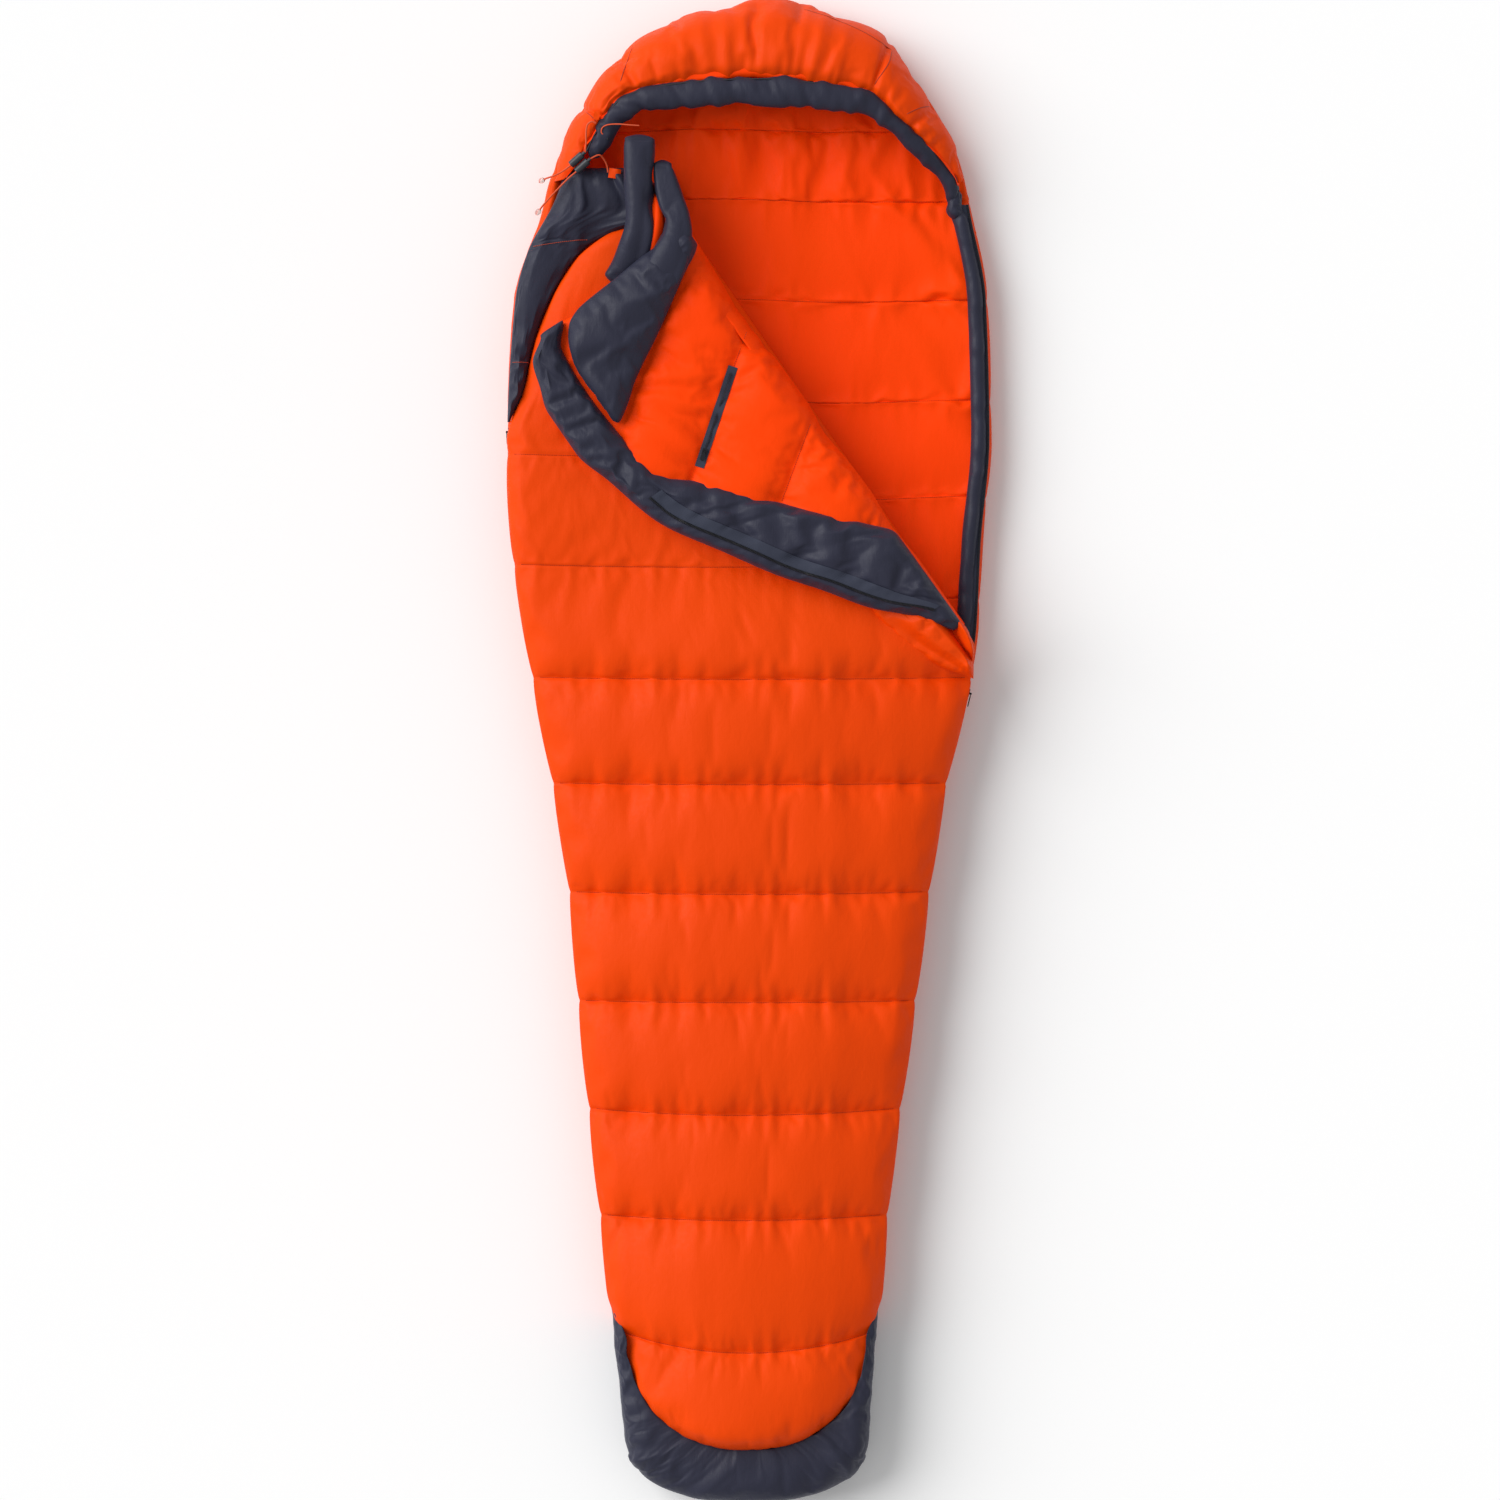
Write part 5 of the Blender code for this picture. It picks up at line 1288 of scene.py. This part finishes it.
def makeClosedZips():
    piece = closedZip
    y = np.linspace(piece["head"], piece["foot"], 246)
    edge = outlineX(y, 1)
    zipWall("closedZipTape", "closed_zip_tape", edge - piece["inset"], y, piece["low"], piece["high"],
            piece["thickness"])
    path = np.stack([edge - 0.0010, y, np.full(len(y), heights["zip"])], -1)[y > piece["teethEnd"]]
    teeth("closedZipTeeth", path, "closed_zip_teeth", "bag", up=(1, 0, 0))
    piece = leftZip
    y = np.linspace(piece["head"], piece["foot"], 50)
    x = np.linspace(outlineX(piece["head"], -1), outlineX(piece["foot"], -1), 50) + piece["inset"]
    zipWall("leftZipTape", "left_zip_tape", x + piece["behind"], y, piece["low"], piece["high"],
            piece["thickness"])
    path = np.stack([x, y, np.full(len(y), heights["zip"])], -1)
    teeth("leftZipTeeth", path, "left_zip_teeth", "bag", up=(-1, 0, 0))


def makeFlapZip():
    piece, tree = flapZip, surfaceOf(tubeObject)
    along = np.linspace(piece["start"], piece["end"], 140)
    far = smoothTable(flapEdge, along)
    edge = far + 0.0012 * rumple(along, 0, 0.03, 161)
    near = foldPlace(along, far - piece["near"] + 0.010 * ease(along, 0.58, 0.65))
    zipTape("flapZipTape", "flap_zip_tape", "flap", layOn(tree, near, 0.0012, piece["height"]),
            layOn(tree, foldPlace(along, edge - piece["far"]), 0.0016, piece["height"]), piece["thickness"])
    coil = layOn(tree, foldPlace(along, edge - piece["coil"]), 0.0022, piece["height"])
    teeth("flapZipTeeth", coil, "flap_zip_teeth", "flap")


def makePocketZip():
    piece, tree = pocketZip, surfaceOf(flapObject)
    head, foot = np.array(piece["head"]), np.array(piece["foot"])
    ahead = direction(foot - head)
    aside = np.array([ahead[1], -ahead[0]]) * piece["half"]
    middle = head + (foot - head) * np.linspace(-0.01, 1.01, 60)[:, None]
    zipTape("pocketZipTape", "pocket_zip_tape", "flap", layOn(tree, middle - aside, 0.0010, 0.1395),
            layOn(tree, middle + aside, 0.0010, 0.1395), piece["thickness"])
    path = layOn(tree, middle[4:-4], 0.0022, 0.1415)
    path[:, 2] = np.clip(path[:, 2], *piece["teethBetween"])
    teeth("pocketZipTeeth", path, "pocket_zip_teeth", "flap", size=piece["teethSize"])


makeOpenZip()
makeClosedZips()
makeFlapZip()
makePocketZip()
print("zips made")

# seam lines, piping and contrast stitching


def threadLine(name, path, radius, material):
    _, side, up = alongFrames(path)
    enter(ringTube(name, path, side * radius, up * radius, 8, [material], endSteps=2), "bag")


def makeHoodSeams():
    crown = surfaceOf(hoodObject)
    places = {
        "Left": [(-0.1660, 1.0080), (-0.1740, 0.9860), (-0.1830, 0.9560)],
        "Right": [(0.2060, 1.0040), (0.2000, 0.9820), (0.1800, 0.9520)],
        "Rim": [(0.0800, 1.0640), (0.1200, 1.0500), (0.1640, 1.0300), (0.2060, 1.0040)],
        "Side": [(0.2640, 0.9260), (0.2440, 0.9190), (0.2260, 0.9100)],
        "Edge": [(-0.2330, 0.9140), (-0.2240, 0.9060), (-0.2150, 0.8960)],
    }
    for name, route in places.items():
        path = layOn(crown, evenPath(smoothPath(route, 8), 0.0030), 0.0002, None)
        threadLine("hoodSeam" + name, path, 0.0008, seamThread)
    _, _, middle, _, rim = hoodPaths(1, 13)
    path = evenPath(np.column_stack([middle, rim - 0.0035]), 0.0030)
    threadLine("bandPiping", path, 0.0013, navyThread)


makeHoodSeams()


def makeQuiltSeams():
    top = surfaceOf(topQuiltObject)
    for k, (level, sag) in enumerate(zip(topQuilt["seams"], topQuilt["sag"])):
        left = float(outlineX(level, -1)) + 0.010
        right = min(float(outlineX(level, 1)) - 0.010, float(foldX(level)) - 0.015)
        if level < -0.8:
            left, right = max(left, -0.176), min(right, 0.176)  # the last one ends at the foot box
        u = np.linspace(0, 1, 60)
        plan = np.stack([left + (right - left) * u, level - sag * (1 - (2 * u - 1) ** 2)], -1)
        stitches(f"topSeam{k}", layOn(top, plan, 0.0006, 0.1), seamThread, "bag")
    back = surfaceOf(backObject)
    for k, level in enumerate(backQuilt["seams"][:6]):  # only these are in the opening
        right = float(outlineX(level, 1)) - 0.030
        left = max(float(foldX(level)) - 0.02, float(outlineX(level, -1)) + 0.03) if level < 0.8 else -0.16
        x = np.linspace(left, right, 60)
        plan = np.stack([x, level + seamBow(x, level)], -1)
        stitches(f"linerSeam{k}", layOn(back, plan, 0.0006, 0.04), seamThread, "bag")


def makeFlapSeams():
    flap = surfaceOf(flapObject)
    for k, offset in enumerate(flapQuilt["seamOffsets"][1:3]):
        c = np.linspace(0.02, 0.24, 50)
        a = seamPlace(offset, c)
        keep = (c < smoothTable(tubeEdge, a) - 0.004) & (a < 0.66)
        if k == 0:
            keep &= (c < 0.095) | (c > 0.242)  # stops at the pocket
        if keep.sum() > 3:
            path = layOn(flap, foldPlace(a[keep], c[keep]), 0.0006, 0.139)
            stitches(f"flapSeam{k}", path, seamThread, "flap")
    for k, offset in enumerate(flapQuilt["seamOffsets"][1:4]):
        c = np.linspace(0.012, 0.30, 90)
        a = seamPlace(offset, c)
        keep = (c < smoothTable(flapEdge, a) - 0.016) & (a > 0.02) & (a < 0.66)
        path = layOn(flap, foldPlace(a[keep], c[keep]), -0.0004, 0.112, True)
        stitches(f"flapShellSeam{k}", path, seamThread, "flap")


def makeShoulderStitches():
    shoulder = surfaceOf(shoulderObject)
    for k, (level, inset, end, count, bow) in enumerate(((0.722, 0.006, -0.232, 40, 0.010),
                                                         (0.556, 0.004, -0.316, 10, 0.0))):
        x = np.linspace(float(outlineX(level, -1)) + inset, end, count)
        y = level + bow * np.sin(np.clip((x - x[0]) / 0.19, 0, 1) * math.pi)
        path = layOn(shoulder, np.stack([x, y], -1), 0.0008, 0.1)
        stitches(f"shoulderStitch{k}", path, orangeThread, "bag", 0.0030, 1.2)


makeQuiltSeams()
makeFlapSeams()
makeShoulderStitches()
print("seams stitched")

# cords, their locks and beads

lockAxis = direction([-0.755, -0.656, -0.20])
lockUp = direction(np.array([0, 0, 1]) - lockAxis * lockAxis[2])
lockSize = {"length": 0.022, "cordDrop": 0.0031}
lockCentres = {"hood": np.array([-0.2456, 0.8443, 0.1225]), "collar": np.array([-0.2376, 0.8351, 0.1225])}


def throughLock(which):
    middle = lockCentres[which] - lockUp * lockSize["cordDrop"]
    shares = (-1.4, -0.7, 0.0, 0.7, 1.4)
    return [tuple(middle + lockAxis * share * lockSize["length"] / 2) for share in shares]


cordRoutes = {
    "hood": [(-0.2180, 0.8960, 0.1255), (-0.2235, 0.8985, 0.1258), (-0.2300, 0.8940, 0.1250),
             (-0.2320, 0.8830, 0.1245), (-0.2320, 0.8690, 0.1238), (-0.2330, 0.8590, 0.1225),
             *throughLock("hood"),
             (-0.2690, 0.8265, 0.1130), (-0.2800, 0.8215, 0.1115), (-0.2885, 0.8190, 0.1075),
             (-0.2925, 0.8175, 0.1035)],
    "collar": [(-0.2010, 0.8270, 0.1112), (-0.2022, 0.8360, 0.1125), (-0.2065, 0.8450, 0.1165),
               (-0.2135, 0.8510, 0.1215), *throughLock("collar"), (-0.2580, 0.8180, 0.1130),
               (-0.2720, 0.8040, 0.1108), (-0.2850, 0.7900, 0.1108), (-0.2940, 0.7800, 0.1080),
               (-0.2985, 0.7745, 0.1035)],
    "neck": [(-0.1560, 0.8920, 0.1345), (-0.1700, 0.8930, 0.1330), (-0.1850, 0.8945, 0.1300),
             (-0.2000, 0.8940, 0.1262), (-0.2085, 0.8900, 0.1240), (-0.2100, 0.8830, 0.1225),
             (-0.2060, 0.8790, 0.1215)],
}


def makeCord(which, radius):
    points = smoothPath(cordRoutes[which], 6)
    curve = bpy.data.curves.new(which + "Cord", "CURVE")
    curve.dimensions = "3D"
    curve.bevel_depth = radius
    curve.bevel_resolution = 4
    curve.use_fill_caps = True
    spline = curve.splines.new("POLY")
    spline.points.add(len(points) - 1)
    for point, place in zip(spline.points, points):
        point.co = (*place, 1.0)
    curve.materials.append(elasticCord)
    obj = bpy.data.objects.new(which + "Cord", curve)
    bpy.context.scene.collection.objects.link(obj)
    enter(obj, "bag", (which + "_cord",))
    length = float(runLengths(points)[-1])
    return length


def turnedPiece(name, centre, axis, profile, material, node, slotName, around=24):
    # profile is (along, radius) pairs
    side = direction(np.cross(axis, [0, 0, 1.0]))
    up = np.cross(side, axis)
    angles = np.linspace(0, 2 * math.pi, around, endpoint=False)
    rings = [centre + axis * s + (np.outer(np.cos(angles), side) + np.outer(np.sin(angles), up)) * r
             for s, r in profile]
    obj = addMesh(name, np.concatenate(rings), ringFaces(len(profile), around), [material])
    return enter(obj, "bag", (node,))


def cordEnd(which, gap):
    # a place just past a cord's end, and the way the cord points there
    last, before = np.array(cordRoutes[which][-1]), np.array(cordRoutes[which][-2])
    ahead = direction(last - before)
    return last + ahead * gap, ahead


beadShape = {"length": 0.010, "mouth": 0.0018, "swell": 0.0024, "steps": 14}
tipProfile = [(-0.004, 0.0011), (-0.0037, 0.0016), (0.0025, 0.0016), (0.0040, 0.0012)]


def makeCords():
    shares = [k / beadShape["steps"] for k in range(beadShape["steps"] + 1)]
    beadProfile = [((share - 0.5) * beadShape["length"],
                    beadShape["mouth"] + beadShape["swell"] * math.sin(math.pi * share**0.9) ** 0.55)
                   for share in shares]
    for which in ("hood", "collar"):
        bead = turnedPiece(which + "Bead", *cordEnd(which, 0.0053), beadProfile, clearBead,
                           which + "_cord_bead", "clear_bead")
        print(which, "cord", round(makeCord(which, 0.00125), 4))
    tip = turnedPiece("neckTip", *cordEnd("neck", 0.0043), tipProfile, darkNylon, "neck_cord_tip",
                      "lock_plastic", 16)
    print("neck cord", round(makeCord("neck", 0.0010), 4))


makeCords()

cordTabs = [  # start, way it points, length and width, height of its foot
    ("hoodTab", "hood_cord_tab", (-0.2165, 0.9130), (-0.10, -1.0), (0.012, 0.008), 0.1252),
    ("collarTab", "collar_cord_tab", (-0.1830, 0.8240), (-1.0, 0.15), (0.017, 0.014), 0.1095),
]


def makeTabs():
    # short folded ribbons that hold the cords
    for name, node, start, ahead, size, low in cordTabs:
        ahead = direction(ahead)
        aside = np.array([ahead[1], -ahead[0]])
        t = np.linspace(0, 1, 14)
        middle = np.array(start) + np.outer(t * size[0], ahead)
        z = low + 0.0014 + 0.0016 * np.sin(t * math.pi) + 0.0010 * t
        left = np.column_stack([middle - aside * size[1] / 2, z])
        right = np.column_stack([middle + aside * size[1] / 2, z + 0.0008 * np.sin(t * 2 * math.pi)])
        enter(flatRibbon(name, left, right, 0.0012, [shellCloth]), "bag", (node,))


makeTabs()

lockSpring = {"radius": 0.0018, "wire": 0.0003, "turns": 5, "nearMouth": 0.0077, "deepest": 0.0163,
              "rise": 0.0018}


def makeLockSpring(which):
    # its deep end sits in the barrel and its other end by the plunger; it is left without a body
    piece = lockSpring
    other = np.cross(lockAxis, lockUp)
    mouth = lockCentres[which] - lockAxis * lockSize["length"] / 2 + lockUp * piece["rise"]
    share = np.linspace(0, 1, piece["turns"] * 18 + 1)
    turn = share * piece["turns"] * 2 * math.pi
    along = piece["nearMouth"] + (piece["deepest"] - piece["nearMouth"]) * share
    circle = np.outer(np.cos(turn), lockUp) + np.outer(np.sin(turn), other)
    path = mouth + np.outer(along, lockAxis) + piece["radius"] * circle
    _, aside, up = alongFrames(path, lockAxis)
    obj = ringTube(which + "LockSpring", path, aside * piece["wire"], up * piece["wire"], 8, [bareSteel],
                   endSteps=1)
    enter(obj, nodes=(which + "_lock_spring",))
    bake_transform(obj)


for lockName in ("hood", "collar"):
    makeLockSpring(lockName)

# hard parts carried over from the frame

hardFinish = [
    (darkNylon, ["hood_lock_barrel", "collar_lock_barrel", "hood_plunger", "collar_plunger"]),
    (coatedZinc, ["main_slider", "main_pull", "left_slider", "left_pull", "pocket_slider", "pocket_pull",
                  "zip_bottom_stop"]),
]
for finish, nodeNames in hardFinish:
    for nodeName in nodeNames:
        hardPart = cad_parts[nodeName].data
        hardPart.materials.clear()
        hardPart.materials.append(finish)
print("hard parts finished")

# floor, light and camera

studio = {"floor": "#fcfcfc", "floorHalf": 8, "world": 0.50, "key": 2.75, "keyFrom": (-0.72, 0.36, 0.60),
          "softness": 0.9, "span": 2.154, "lens": 180.0, "sensor": 36.0, "aim": (0.0022, 0.0007, 0.07)}


def makeStudio():
    mesh = bpy.data.meshes.new("floor")
    far = studio["floorHalf"]
    mesh.from_pydata([(-far, -far, 0), (far, -far, 0), (far, far, 0), (-far, far, 0)], [], [(0, 1, 2, 3)])
    floorPaint, _, _ = newMaterial("studio floor, painted white", {"Base Color": linear(studio["floor"]),
                                                                   "Roughness": 0.9})
    mesh.materials.append(floorPaint)
    floor = bpy.data.objects.new("floor", mesh)
    bpy.context.scene.collection.objects.link(floor)
    world = bpy.data.worlds.new("studio")
    bpy.context.scene.world = world
    world.use_nodes = True
    world.node_tree.nodes["Background"].inputs[0].default_value = (1, 1, 1, 1)
    world.node_tree.nodes["Background"].inputs[1].default_value = studio["world"]
    light = bpy.data.lights.new("key", "SUN")
    light.energy = studio["key"]
    light.angle = studio["softness"]
    lamp = bpy.data.objects.new("key", light)
    lamp.rotation_euler = (-Vector(studio["keyFrom"])).to_track_quat("-Z", "Y").to_euler()
    bpy.context.scene.collection.objects.link(lamp)
    camera = bpy.data.objects.new("camera", bpy.data.cameras.new("camera"))
    camera.data.lens = studio["lens"]
    camera.data.sensor_width = studio["sensor"]
    camera.data.clip_end = 100.0
    aimX, aimY, aimZ = studio["aim"]
    camera.location = (aimX, aimY, aimZ + studio["span"] * studio["lens"] / studio["sensor"])
    camera.rotation_euler = (0, 0, 0)
    bpy.context.scene.collection.objects.link(camera)
    bpy.context.scene.camera = camera
    bpy.context.scene.view_settings.view_transform = "Standard"


makeStudio()
